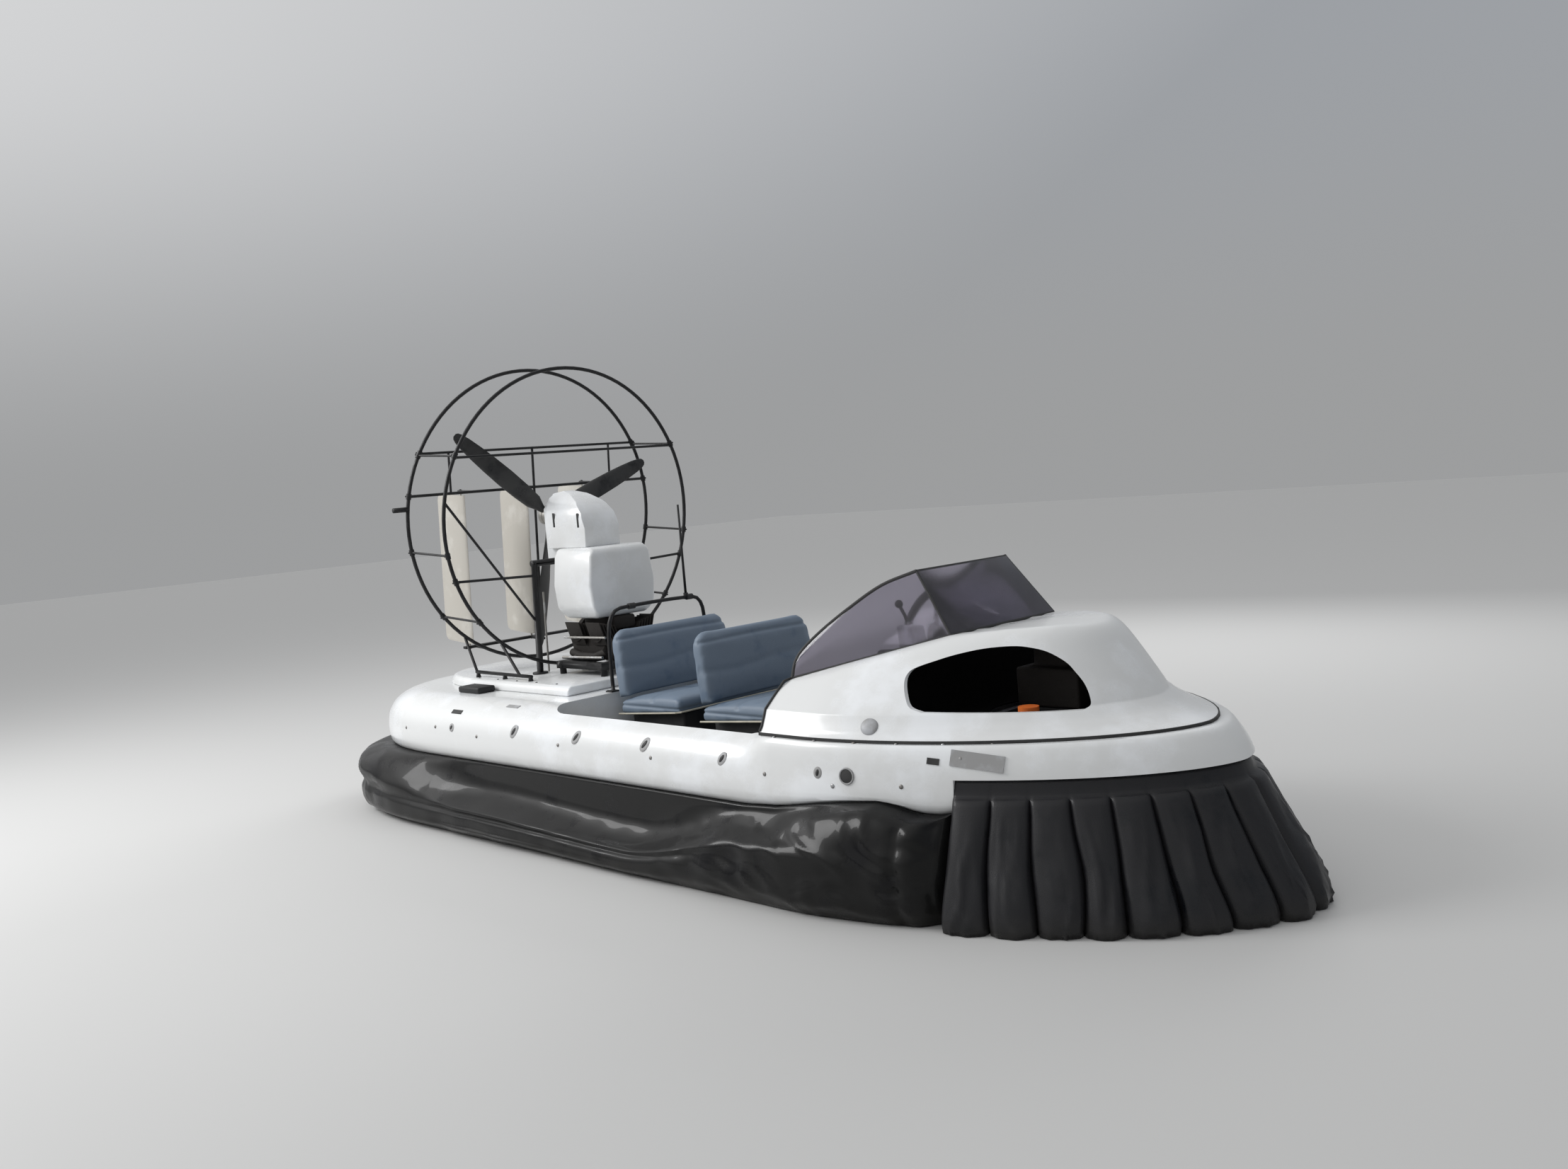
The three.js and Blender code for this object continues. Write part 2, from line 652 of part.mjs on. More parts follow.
function buildEngine() {
  const cover = common(
    sideProfile([
      [-1440, 1150], [-1400, 1110], [-1110, 1110], [-1075, 1150], [-1075, 1500], [-1100, COVER_TOP],
      [-1440, COVER_TOP],
    ], -300, 300),
    frontProfile(mirrored([
      [195, COVER_TOP], [222, 1480], [245, 1310], [232, 1180], [190, 1110],
    ]), -1500, -1000),
  );
  piece('engine_cover', cover, GELCOAT);

  const hood = common(
    sideProfile([
      [-1620, COVER_TOP + GAP], [-1235, COVER_TOP + GAP], [-1228, 1640], [-1262, 1730], [-1330, 1800],
      [-1430, 1850], [-1530, 1872], [-1620, 1862],
    ], -200, 200),
    frontProfile(mirrored([
      [28, 1880], [74, 1840], [112, 1780], [130, 1700], [130, 1500],
    ]), -1700, -1200),
  );
  // Bearing plate behind the hood, seated on the thrust frame's cross tube
  const plate = common(
    block(DRIVE_AFT, -1560, -95, 95, 1440, 1840),
    frontProfile(mirrored([[40, 1840], [95, 1770], [95, 1440]]), -1700, -1500),
  );
  const tube = placed(crossTube(UPRIGHT_RADIUS + GAP));
  piece('drive_cover', cut(join(hood, plate), tube), GELCOAT);
  piece('engine_block', block(-1470, -1010, -200, 200, 860, 1110 - GAP), ENGINE_BLACK);
  const legs = [];
  for (const x of [-1440, -1040]) {
    for (const y of [-230, 230]) {
      legs.push(bar([x, y, ENGINE_DECK_TOP + GAP], [x, y, 845], 20));
    }
    legs.push(block(x - 22, x + 22, -260, 260, 816, 860 - GAP));
  }
  legs.push(block(-1460, -1020, 210, 250, 816, 860 - GAP));
  legs.push(block(-1460, -1020, -250, -210, 816, 860 - GAP));
  piece('engine_frame', join(...legs), BLACK_TUBE);
}

function buildLiftFan() {
  const duct = cut(
    post(FAN_X, 0, 44, DECK_TOP, DUCT_CORNER, DUCT_CORNER, DUCT_SIDES),
    post(FAN_X, 0, 30, 740, DUCT_RADIUS, DUCT_RADIUS, 32),
  );
  piece('lift_duct', duct, PLASTIC);

  const parts = [post(FAN_X, 0, 560, 650, 70, 60, 24), post(FAN_X, 0, 640, 757, 15, 15, 12)];
  for (let i = 0; i < FAN_BLADES; i++) {
    const sections = [
      // radius, chord, thickness, pitch in degrees
      [50, 90, 14, 42],
      [FAN_TIP, 120, 8, 26],
    ];
    const blade = loft(sections.map((row) => bladeSection(row, 6)));
    blade.rotateY(-Math.PI / 2).rotateZ((i / FAN_BLADES) * Math.PI * 2).translate(FAN_X, 0, 604);
    parts.push(blade);
  }
  piece('lift_fan', join(...parts), PALE_BOX);

  const beams = [];
  for (const x of [FAN_X - 150, FAN_X + 150]) {
    beams.push(block(x - 20, x + 20, -440, 440, DECK_TOP + GAP, 757));
  }
  for (const y of [-110, 110]) {
    beams.push(block(FAN_X - 150, FAN_X + 150, y - 16, y + 16, DECK_TOP + 6, 757));
  }
  piece('lift_stay', join(...beams), BLACK_TUBE);
  const engine = join(
    block(FAN_X - 160, FAN_X + 160, -130, 130, 757 + GAP, 930),
    block(FAN_X - 90, FAN_X + 90, -90, 90, 920, 1010),
  );
  piece('lift_engine', engine, ENGINE_BLACK);
}

// One section of a fan or propeller blade: at height r, its chord turned by the pitch
function bladeSection([r, chord, thick, pitch], points) {
  const turned = THREE.MathUtils.degToRad(pitch);
  return Array.from({ length: points }, (_, k) => {
    const turn = (k / points) * Math.PI * 2;
    const along = (chord / 2) * Math.cos(turn);
    const across = (thick / 2) * Math.sin(turn);
    return new THREE.Vector3(
      along * Math.sin(turned) - across * Math.cos(turned),
      along * Math.cos(turned) + across * Math.sin(turned),
      r,
    );
  });
}

function ringTorus(x, tube) {
  return new THREE.TorusGeometry(RING_RADIUS, tube, 8, 64).rotateY(Math.PI / 2).translate(x, 0, 0);
}

// Y where a ring stands at height z
function ringHalf(z) {
  return Math.sqrt(RING_RADIUS ** 2 - z ** 2);
}

// A bar across a ring at height z, ending inside the ring's tube
function crossBar(x, z, radius) {
  return bar([x, -ringHalf(z), z], [x, ringHalf(z), z], radius);
}

function buildGuard() {
  const lugZ = RUDDER_TOP + PIN_LENGTH;
  const railZ = RUDDER_FOOT - PIN_LENGTH;
  const rear = [
    ringTorus(0, RING_TUBE),
    crossBar(0, 420, 8),
    crossBar(0, lugZ + 8, 9),
    bar([0, 0, railZ - 8], [0, 0, 420], 8),
    bar([0, 600, lugZ + 8], [0, 600, 420], 7),
    bar([0, -600, lugZ + 8], [0, -600, 420], 7),
    block(RUDDER_PIVOT_X - 16, RUDDER_PIVOT_X + 16, -500, 500, railZ - 16, railZ),
    block(RUDDER_PIVOT_X, 10, -16, 16, railZ - 16, railZ),
  ];
  for (const y of RUDDER_PLACES) {
    rear.push(block(RUDDER_PIVOT_X - 16, 4, y - 12, y + 12, lugZ, lugZ + 16));
  }
  for (const side of [-1, 1]) {
    const y = side * ringHalf(railZ - 8);
    rear.push(bar([RUDDER_PIVOT_X, y, railZ - 8], [0, y, railZ - 8], 8));
  }
  const rearRing = join(...rear);
  piece('guard_ring_rear', rearRing, BLACK_TUBE, thrust);

  const front = [ringTorus(RING_SPACING, RING_TUBE), crossBar(RING_SPACING, 400, 8)];
  const ties = [
    // height of a fore-and-aft tie on both sides
    410, -155, -560,
  ];
  for (const side of [-1, 1]) {
    for (const z of ties) {
      const y = side * ringHalf(z);
      front.push(bar([0, y, z], [RING_SPACING, y, z], 7));
    }
    const inner = side * (UPRIGHT_Y + UPRIGHT_RADIUS + GAP);
    front.push(bar([RING_SPACING, side * ringHalf(-310), -310], [UPRIGHT_X, inner, -335], 8));
  }
  const braceFoot = [UPRIGHT_X, -(UPRIGHT_Y + UPRIGHT_RADIUS), -600];
  front.push(bar([RING_SPACING, -ringHalf(150), 150], braceFoot, 8));
  const clear = [ringTorus(0, RING_TUBE + GAP)];
  for (const side of [-1, 1]) {
    const y = side * UPRIGHT_Y;
    clear.push(bar([UPRIGHT_X, y, -1000], [UPRIGHT_X, y, UPRIGHT_TOP], UPRIGHT_RADIUS + GAP, 16));
  }
  piece('guard_ring_front', cut(join(...front), ...clear), BLACK_TUBE, thrust);
}

// Moves a shape from the thrust unit's frame to the hull's
function placed(geometry) {
  thrust.updateMatrix();
  return geometry.applyMatrix4(thrust.matrix);
}

// The thrust frame's cross tube between the tops of its uprights
function crossTube(radius) {
  const reach = UPRIGHT_Y + UPRIGHT_RADIUS;
  return bar([UPRIGHT_X, -reach, UPRIGHT_TOP], [UPRIGHT_X, reach, UPRIGHT_TOP], radius, 16);
}

function buildCageBase() {
  const under = block(-2600, -1000, -900, 900, 600, ENGINE_DECK_TOP + GAP);
  const rings = [0, RING_SPACING].map((x) => placed(ringTorus(x, RING_TUBE + GAP)));
  const tie = (side) => placed(bar(
    [0, side * ringHalf(-560), -560], [RING_SPACING, side * ringHalf(-560), -560], 7 + GAP));
  const frame = [placed(crossTube(UPRIGHT_RADIUS))];
  for (const side of [-1, 1]) {
    const y = side * UPRIGHT_Y;
    frame.push(placed(bar([UPRIGHT_X, y, -1000], [UPRIGHT_X, y, UPRIGHT_TOP + 12], UPRIGHT_RADIUS, 16)));
    frame.push(post(-1608, y, ENGINE_DECK_TOP, ENGINE_DECK_TOP + 10, 48, 48, 16));
  }
  piece('thrust_frame', cut(join(...frame), under), BLACK_TUBE);
  for (const [name, side] of [['port', 1], ['starboard', -1]]) {
    const rail = [
      bar([-1966, side * 500, 812], [-1380, side * 500, 806], 11),
      bar([-1960, side * 500, 812], [-1951, side * 566, 1033], 9),
      bar([-1500, side * 500, 808], [-1560, side * 566, 1004], 9),
    ];
    for (const x of [-1950, -1660, -1392]) {
      rail.push(post(x, side * 500, ENGINE_DECK_TOP, 806, 16, 10, 10));
    }
    piece(`cage_base_${name}`, cut(join(...rail), under, ...rings, tie(side)), BLACK_TUBE);
  }
}

function buildPropeller() {
  const hub = new THREE.CylinderGeometry(62, 62, 90, 32).rotateZ(Math.PI / 2);
  // The shaft ends square, just clear of the upright bearing plate all the way round
  const room = DRIVE_AFT - GAP - THRUST_X - SHAFT_RADIUS * Math.sin(THRUST_LEAN);
  const shaftEnd = room / Math.cos(THRUST_LEAN) - PROP_X;
  const shaft = new THREE.CylinderGeometry(SHAFT_RADIUS, SHAFT_RADIUS, shaftEnd, 16)
    .rotateZ(Math.PI / 2).translate(shaftEnd / 2, 0, 0);
  piece('propeller_hub', join(hub, shaft).translate(PROP_X, 0, 0), ALLOY, thrust);
  const sections = [
    // radius, chord, thickness, pitch in degrees
    [62.4, 44, 36, 55],
    [150, 108, 30, 42],
    [400, 118, 18, 24],
    [650, 98, 12, 17],
    [PROP_RADIUS, 56, 8, 14],
  ];
  for (let i = 0; i < 3; i++) {
    const loops = sections.map((row) => bladeSection(row, 10));
    const blade = loft(loops).rotateX(THREE.MathUtils.degToRad(PROP_PARK + 120 * i));
    piece(`propeller_blade_${i + 1}`, blade.translate(PROP_X, 0, 0), BLADE_BLACK, thrust);
  }
}

function buildRudders() {
  for (const [i, y] of RUDDER_PLACES.entries()) {
    const shape = new THREE.Shape([
      // distance ahead of the pivot, half thickness
      [44, 0], [34, 9], [0, 13], [-120, 9], [-266, 1.5], [-266, -1.5], [-120, -9], [0, -13], [34, -9],
    ].map(([dx, dy]) => new THREE.Vector2(RUDDER_PIVOT_X + dx, y + dy)));
    const height = RUDDER_TOP - RUDDER_FOOT;
    const blade = new THREE.ExtrudeGeometry(shape, { depth: height, bevelEnabled: false })
      .translate(0, 0, RUDDER_FOOT);
    const pins = [
      post(RUDDER_PIVOT_X, y, RUDDER_TOP - 20, RUDDER_TOP + PIN_LENGTH - GAP, 6, 6, 10),
      post(RUDDER_PIVOT_X, y, RUDDER_FOOT - PIN_LENGTH + GAP, RUDDER_FOOT + 20, 6, 6, 10),
    ];
    piece(`rudder_${i + 1}`, join(blade, ...pins), RUDDER_WHITE, thrust);
  }
}

function buildSideLamp() {
  const lamp = new THREE.CylinderGeometry(15, 15, 90, 12).translate(0, -944, 100);
  piece('side_lamp', cut(lamp, ringTorus(0, RING_TUBE + GAP)), PLASTIC, thrust);
}

buildHull();
buildSkirt();
buildCowl();
buildScreen();
buildCockpit();
buildSeatHoop();
buildLiftFan();
buildEngine();
buildGuard();
buildCageBase();
buildPropeller();
buildRudders();
buildSideLamp();

export default hovercraft;
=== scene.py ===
# %% [markdown]
# # A light leisure hovercraft
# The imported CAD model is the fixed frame: it says where every part is and what
# turns. This lesson dresses it with smooth mouldings, coated fabric, padded seats
# and finishes, one cell at a time.

import json
import math

import bmesh
import bpy
from mathutils import Euler, Matrix, Vector, noise
from mathutils.bvhtree import BVHTree

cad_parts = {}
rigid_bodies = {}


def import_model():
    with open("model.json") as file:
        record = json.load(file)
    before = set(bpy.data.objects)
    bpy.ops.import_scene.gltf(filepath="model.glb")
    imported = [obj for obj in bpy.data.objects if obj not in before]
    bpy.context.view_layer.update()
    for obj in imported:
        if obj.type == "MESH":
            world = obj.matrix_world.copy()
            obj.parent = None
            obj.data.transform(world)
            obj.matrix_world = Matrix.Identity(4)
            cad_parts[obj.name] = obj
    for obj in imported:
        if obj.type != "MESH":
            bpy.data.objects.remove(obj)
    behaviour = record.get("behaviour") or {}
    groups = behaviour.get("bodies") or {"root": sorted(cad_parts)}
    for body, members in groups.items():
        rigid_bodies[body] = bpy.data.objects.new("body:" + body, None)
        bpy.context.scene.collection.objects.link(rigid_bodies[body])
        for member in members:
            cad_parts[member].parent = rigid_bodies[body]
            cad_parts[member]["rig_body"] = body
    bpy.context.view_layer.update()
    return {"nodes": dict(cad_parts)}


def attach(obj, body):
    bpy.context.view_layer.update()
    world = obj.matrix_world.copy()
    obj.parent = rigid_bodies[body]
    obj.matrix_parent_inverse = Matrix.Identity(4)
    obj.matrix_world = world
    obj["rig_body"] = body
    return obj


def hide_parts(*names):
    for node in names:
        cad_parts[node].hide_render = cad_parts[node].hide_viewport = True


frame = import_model()
nodes = frame["nodes"]
scene = bpy.context.scene

# %% [markdown]
# ## Camera
# The viewing angle is that of somebody who stands off the starboard bow at eye
# height. The camera is given as its place and its three axes, which is easier to
# check than angles.

# %% Camera
camera_data = bpy.data.cameras.new("camera")
camera_data.sensor_width = 36
camera_data.lens = 31.69
camera = bpy.data.objects.new("camera", camera_data)
scene.collection.objects.link(camera)
right = Vector((0.7048, 0.7043, -0.0845)).normalized()
back = Vector((0.7094, -0.7005, 0.0785)).normalized()
up = back.cross(right)
turn = Matrix((right, up, back)).transposed().to_4x4()
camera.matrix_world = Matrix.Translation((5.390, -5.054, 1.852)) @ turn
scene.camera = camera
scene.view_settings.view_transform = "Standard"
print("lens", camera_data.lens)

# %% [markdown]
# ## Shared effects
# Three effects come back in many finishes, so each is a shader node group: soft
# stains, dirt that gathers low down, and a fine surface relief.

# %% Shared effects
def node_group(name, inputs, outputs):
    group = bpy.data.node_groups.new(name, "ShaderNodeTree")
    for label, value in inputs:
        socket = group.interface.new_socket(label, in_out="INPUT", socket_type="NodeSocketFloat")
        socket.default_value = value
    for label in outputs:
        group.interface.new_socket(label, in_out="OUTPUT", socket_type="NodeSocketFloat")
    start = group.nodes.new("NodeGroupInput")
    end = group.nodes.new("NodeGroupOutput")
    return group, start, end


def add_node(tree, kind, links=(), **values):
    node = tree.nodes.new(kind)
    for key, value in values.items():
        setattr(node, key, value)
    for socket, source in links:
        if isinstance(source, bpy.types.NodeSocket):
            tree.links.new(source, node.inputs[socket])
        else:
            node.inputs[socket].default_value = source
    return node


# Stains: cloudy patches of a given size; Spread is how much of the surface they take
stains, start, end = node_group("stains", [("Scale", 4), ("Spread", 0.4)], ["Mask"])
here = add_node(stains, "ShaderNodeTexCoord")
cloud = add_node(stains, "ShaderNodeTexNoise", [
    ("Vector", here.outputs["Object"]), ("Scale", start.outputs["Scale"]),
    ("Detail", 6.0), ("Roughness", 0.6)])
low = add_node(stains, "ShaderNodeMath", [(0, 0.68), (1, start.outputs["Spread"])],
               operation="SUBTRACT")
high = add_node(stains, "ShaderNodeMath", [(0, low.outputs[0]), (1, 0.22)], operation="ADD")
mask = add_node(stains, "ShaderNodeMapRange", [
    ("Value", cloud.outputs["Fac"]), ("From Min", low.outputs[0]),
    ("From Max", high.outputs[0])], interpolation_type="SMOOTHSTEP")
stains.links.new(mask.outputs[0], end.inputs["Mask"])

# Low dirt: strongest at Floor height, gone at Top height, broken up by a cloud
low_dirt, start, end = node_group("low_dirt", [("Floor", 0), ("Top", 0.4)], ["Mask"])
here = add_node(low_dirt, "ShaderNodeTexCoord")
axes = add_node(low_dirt, "ShaderNodeSeparateXYZ", [(0, here.outputs["Object"])])
cloud = add_node(low_dirt, "ShaderNodeTexNoise", [
    ("Vector", here.outputs["Object"]), ("Scale", 9.0), ("Detail", 5.0)])
fade = add_node(low_dirt, "ShaderNodeMapRange", [
    ("Value", axes.outputs["Z"]), ("From Min", start.outputs["Top"]),
    ("From Max", start.outputs["Floor"])])
both = add_node(low_dirt, "ShaderNodeMath", [(0, fade.outputs[0]), (1, cloud.outputs["Fac"])],
                operation="MULTIPLY", use_clamp=True)
low_dirt.links.new(both.outputs[0], end.inputs["Mask"])

# Relief: fine grain for a bump, from pebbles and a little cloud
relief, start, end = node_group("relief", [("Scale", 200)], ["Height"])
here = add_node(relief, "ShaderNodeTexCoord")
pebble = add_node(relief, "ShaderNodeTexVoronoi", [
    ("Vector", here.outputs["Object"]), ("Scale", start.outputs["Scale"])])
cloud = add_node(relief, "ShaderNodeTexNoise", [
    ("Vector", here.outputs["Object"]), ("Scale", start.outputs["Scale"]), ("Detail", 3.0)])
both = add_node(relief, "ShaderNodeMath", [(0, pebble.outputs["Distance"]),
                                           (1, cloud.outputs["Fac"])], operation="ADD")
relief.links.new(both.outputs[0], end.inputs["Height"])
print("groups", [g.name for g in bpy.data.node_groups])

# %% [markdown]
# ## Floor and light
# A plain pale floor and a soft sky. The sky is brightest high up on the starboard
# quarter and duller towards the bow, so that white faces differ and black gloss
# shows shape. Low down it fades to the floor's grey. A soft box on the starboard
# quarter gives the shadows, and one to port lights the far edges.

# %% Floor and light
FLOOR_SIZE, FLOOR_GREY, FLOOR_ROUGHNESS = 40, (0.53, 0.53, 0.525, 1), 0.7
SKY_STRENGTH, HAZE_TOP, HAZE_GREY = 0.80, 0.30, (0.42, 0.425, 0.43, 1)
SKY_BRIGHTEST = Vector((-0.42, -0.42, 0.80)).normalized()
SKY_STOPS = [(0.02, (0.42, 0.44, 0.47, 1)), (0.75, (1, 1, 1, 1))]

floor_bm = bmesh.new()
bmesh.ops.create_grid(floor_bm, x_segments=2, y_segments=2, size=FLOOR_SIZE)
floor_mesh = bpy.data.meshes.new("floor")
floor_bm.to_mesh(floor_mesh)
floor_bm.free()
floor = bpy.data.objects.new("floor", floor_mesh)
scene.collection.objects.link(floor)
studio_floor = bpy.data.materials.new("studio_floor")
studio_floor.use_nodes = True
shader = studio_floor.node_tree.nodes["Principled BSDF"]
shader.inputs["Base Color"].default_value = FLOOR_GREY
shader.inputs["Roughness"].default_value = FLOOR_ROUGHNESS
floor.data.materials.append(studio_floor)

world = bpy.data.worlds.new("sky")
scene.world = world
world.use_nodes = True
sky = world.node_tree
place = add_node(sky, "ShaderNodeTexCoord")
facing = add_node(sky, "ShaderNodeVectorMath", [
    (0, place.outputs["Generated"]), (1, SKY_BRIGHTEST)], operation="DOT_PRODUCT")
ramp = add_node(sky, "ShaderNodeValToRGB", [(0, facing.outputs["Value"])])
for stop, (position, color) in zip(ramp.color_ramp.elements, SKY_STOPS):
    stop.position = position
    stop.color = color
# Near the horizon the sky takes the floor's grey, so the two meet without an edge
axes = add_node(sky, "ShaderNodeSeparateXYZ", [(0, place.outputs["Generated"])])
rising = add_node(sky, "ShaderNodeMapRange", [
    ("Value", axes.outputs["Z"]), ("From Max", HAZE_TOP)], interpolation_type="SMOOTHSTEP")
haze = add_node(sky, "ShaderNodeMix", [
    ("Factor", rising.outputs[0]), (6, HAZE_GREY), (7, ramp.outputs[0])], data_type="RGBA")
sky.links.new(haze.outputs[2], sky.nodes["Background"].inputs["Color"])
sky.nodes["Background"].inputs["Strength"].default_value = SKY_STRENGTH

# %% Soft boxes
def soft_box(name, spot, aim, size, watts, glints=True):
    data = bpy.data.lights.new(name, "AREA")
    data.shape = "RECTANGLE"
    data.size, data.size_y = size
    data.energy = watts
    lamp = bpy.data.objects.new(name, data)
    scene.collection.objects.link(lamp)
    lamp.location = spot
    lamp.visible_glossy = glints
    lamp.rotation_euler = (Vector(aim) - Vector(spot)).to_track_quat("-Z", "Y").to_euler()


soft_box("key", (-5.5, -6.0, 6.0), (-0.3, 0, 0.8), (5, 4), 620)
soft_box("rim", (-1.5, 7.5, 5.0), (0.0, 0, 0.8), (5, 3), 220, glints=False)

# %% [markdown]
# ## Finishes
# Every finish starts from one recipe: a base colour that turns towards a stain
# colour in patches, a roughness that changes with the same patches, and a relief.
# Numbers that are the same all over stay on the shader itself.

# %% Finishes
RELIEF_DEPTH = 0.002


def effect(tree, group, **values):
    node = tree.nodes.new("ShaderNodeGroup")
    node.node_tree = group
    for label, value in values.items():
        node.inputs[label].default_value = value
    return node.outputs[0]


def finish(name, base, stain, rough, stain_rough, size, spread, grain, bump, dirt=None,
           dirt_color=(0.10, 0.085, 0.07), **shader_values):
    """A finish; dirt is (floor, top) heights in metres, or None for a clean part."""
    material = bpy.data.materials.new(name)
    material.use_nodes = True
    tree = material.node_tree
    shader = tree.nodes["Principled BSDF"]
    patches = effect(tree, stains, Scale=size, Spread=spread)
    color = add_node(tree, "ShaderNodeMix", [
        ("Factor", patches), (6, (*base, 1)), (7, (*stain, 1))], data_type="RGBA")
    result = color.outputs[2]
    if dirt:
        grime = effect(tree, low_dirt, Floor=dirt[0], Top=dirt[1])
        color = add_node(tree, "ShaderNodeMix", [
            ("Factor", grime), (6, result), (7, (*dirt_color, 1))], data_type="RGBA")
        result = color.outputs[2]
    tree.links.new(result, shader.inputs["Base Color"])
    gloss = add_node(tree, "ShaderNodeMapRange", [
        ("Value", patches), ("To Min", rough), ("To Max", stain_rough)])
    tree.links.new(gloss.outputs[0], shader.inputs["Roughness"])
    height = effect(tree, relief, Scale=grain)
    bumps = add_node(tree, "ShaderNodeBump", [
        ("Height", height), ("Strength", bump), ("Distance", RELIEF_DEPTH)])
    tree.links.new(bumps.outputs[0], shader.inputs["Normal"])
    for label, value in shader_values.items():
        shader.inputs[label.replace("_", " ")].default_value = value
    return material

# %% Table of finishes
FINISHES = [
    # name, slot in the record, base colour, stain colour,
    # roughness, stain roughness, stain size, stain spread, relief grain, relief strength
    ("gelcoat", "gelcoat", (0.8, 0.82, 0.84), (0.7, 0.71, 0.71),
     0.16, 0.34, 3, 0.35, 90, 0.02),
    ("gelcoat_inner", None, (0.66, 0.67, 0.66), (0.45, 0.43, 0.39),
     0.4, 0.6, 6, 0.5, 90, 0.05),
    ("black_tube", "black_tube", (0.007, 0.007, 0.008), (0.016, 0.016, 0.017),
     0.34, 0.5, 14, 0.35, 500, 0.08),
    ("wet_fabric", "skirt_fabric", (0.004, 0.004, 0.005), (0.008, 0.008, 0.008),
     0.14, 0.36, 5, 0.38, 320, 0.12),
    ("dull_fabric", "skirt_fabric", (0.005, 0.006, 0.008), (0.011, 0.011, 0.013),
     0.2, 0.5, 7, 0.4, 320, 0.25),
    ("vinyl", "vinyl", (0.105, 0.15, 0.215), (0.15, 0.195, 0.255),
     0.42, 0.55, 7, 0.42, 260, 0.22),
    ("rudder_skin", "rudder_white", (0.52, 0.505, 0.465), (0.42, 0.4, 0.36),
     0.38, 0.6, 5, 0.42, 60, 0.08),
    ("blade_black", "blade_black", (0.01, 0.01, 0.011), (0.03, 0.03, 0.03),
     0.26, 0.45, 8, 0.35, 400, 0.05),
    ("engine_dark", "engine_black", (0.008, 0.008, 0.009), (0.022, 0.019, 0.017),
     0.45, 0.7, 18, 0.5, 150, 0.5),
    ("bright_metal", "alloy", (0.56, 0.57, 0.58), (0.34, 0.33, 0.31),
     0.28, 0.5, 12, 0.35, 300, 0.1),
    ("black_plastic", "plastic", (0.01, 0.01, 0.011), (0.02, 0.02, 0.021),
     0.42, 0.6, 10, 0.35, 420, 0.3),
    # painted shade: a dead black for the shaded inside of the bay under the cowl
    ("bay_black", None, (0.003, 0.003, 0.003), (0.006, 0.006, 0.006),
     0.8, 0.9, 6, 0.35, 200, 0.2),
    ("fastener", "alloy", (0.42, 0.43, 0.44), (0.25, 0.24, 0.23),
     0.32, 0.5, 40, 0.35, 500, 0.05),
    ("cream", "pale_box", (0.52, 0.49, 0.4), (0.42, 0.4, 0.33),
     0.5, 0.65, 12, 0.35, 260, 0.2),
    ("dial_glass", "pale_box", (0.3, 0.31, 0.32), (0.26, 0.27, 0.28),
     0.12, 0.2, 20, 0.35, 40, 0.02),
    ("orange_cap", None, (0.7, 0.16, 0.02), (0.6, 0.13, 0.02),
     0.4, 0.55, 20, 0.35, 300, 0.1),
    ("rubber", "rubber_black", (0.011, 0.011, 0.012), (0.03, 0.03, 0.03),
     0.5, 0.72, 14, 0.35, 300, 0.2),
    ("pale_plastic", "pale_box", (0.4, 0.41, 0.43), (0.3, 0.3, 0.3),
     0.4, 0.6, 10, 0.35, 300, 0.15),
    ("tinted", "tinted", (0.25, 0.232, 0.295), (0.28, 0.262, 0.325),
     0.02, 0.08, 3, 0.35, 30, 0.01),
]
# What a few finishes have on top: dirt, a clear coat, glass, metal
EXTRAS = {
    "gelcoat": dict(dirt=(0.30, 0.47), Coat_Weight=0.35, Coat_Roughness=0.08),
    "black_tube": dict(Specular_IOR_Level=0.35),
    "wet_fabric": dict(dirt=(0.0, 0.10), dirt_color=(0.022, 0.020, 0.017), Coat_Weight=0.17,
                       Coat_Roughness=0.06, Specular_IOR_Level=0.14),
    "dull_fabric": dict(dirt=(0.0, 0.10), dirt_color=(0.024, 0.022, 0.019), Coat_Weight=0.10,
                        Coat_Roughness=0.08, Specular_IOR_Level=0.30),
    "engine_dark": dict(Specular_IOR_Level=0.3),
    "bright_metal": dict(Metallic=1.0),
    "black_plastic": dict(Specular_IOR_Level=0.35),
    "bay_black": dict(Specular_IOR_Level=0.1),
    "fastener": dict(Metallic=1.0),
    "tinted": dict(IOR=1.49, Transmission_Weight=0.95),
}
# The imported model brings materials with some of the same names, so a finish is looked
# up here and not among all of Blender's materials
COATS, SLOT_OF = {}, {}
for name, slot, *values in FINISHES:
    COATS[name] = finish(name, *values, **EXTRAS.get(name, {}))
    SLOT_OF[name] = slot

# %% Finishes of plain CAD nodes
# the bulkhead takes the bay's black, which is painted shade of the dark bay
DRESSED = {"hull_pan": "gelcoat_inner", "joint_strip": "rubber", "lift_duct": "black_plastic",
           "bulkhead": "bay_black", "lift_fan": "pale_plastic"}
for name, coat in DRESSED.items():
    slots = nodes[name].data.materials
    slots.clear()
    slots.append(COATS[coat])
print("finishes", len(FINISHES), "nodes dressed", len(DRESSED))
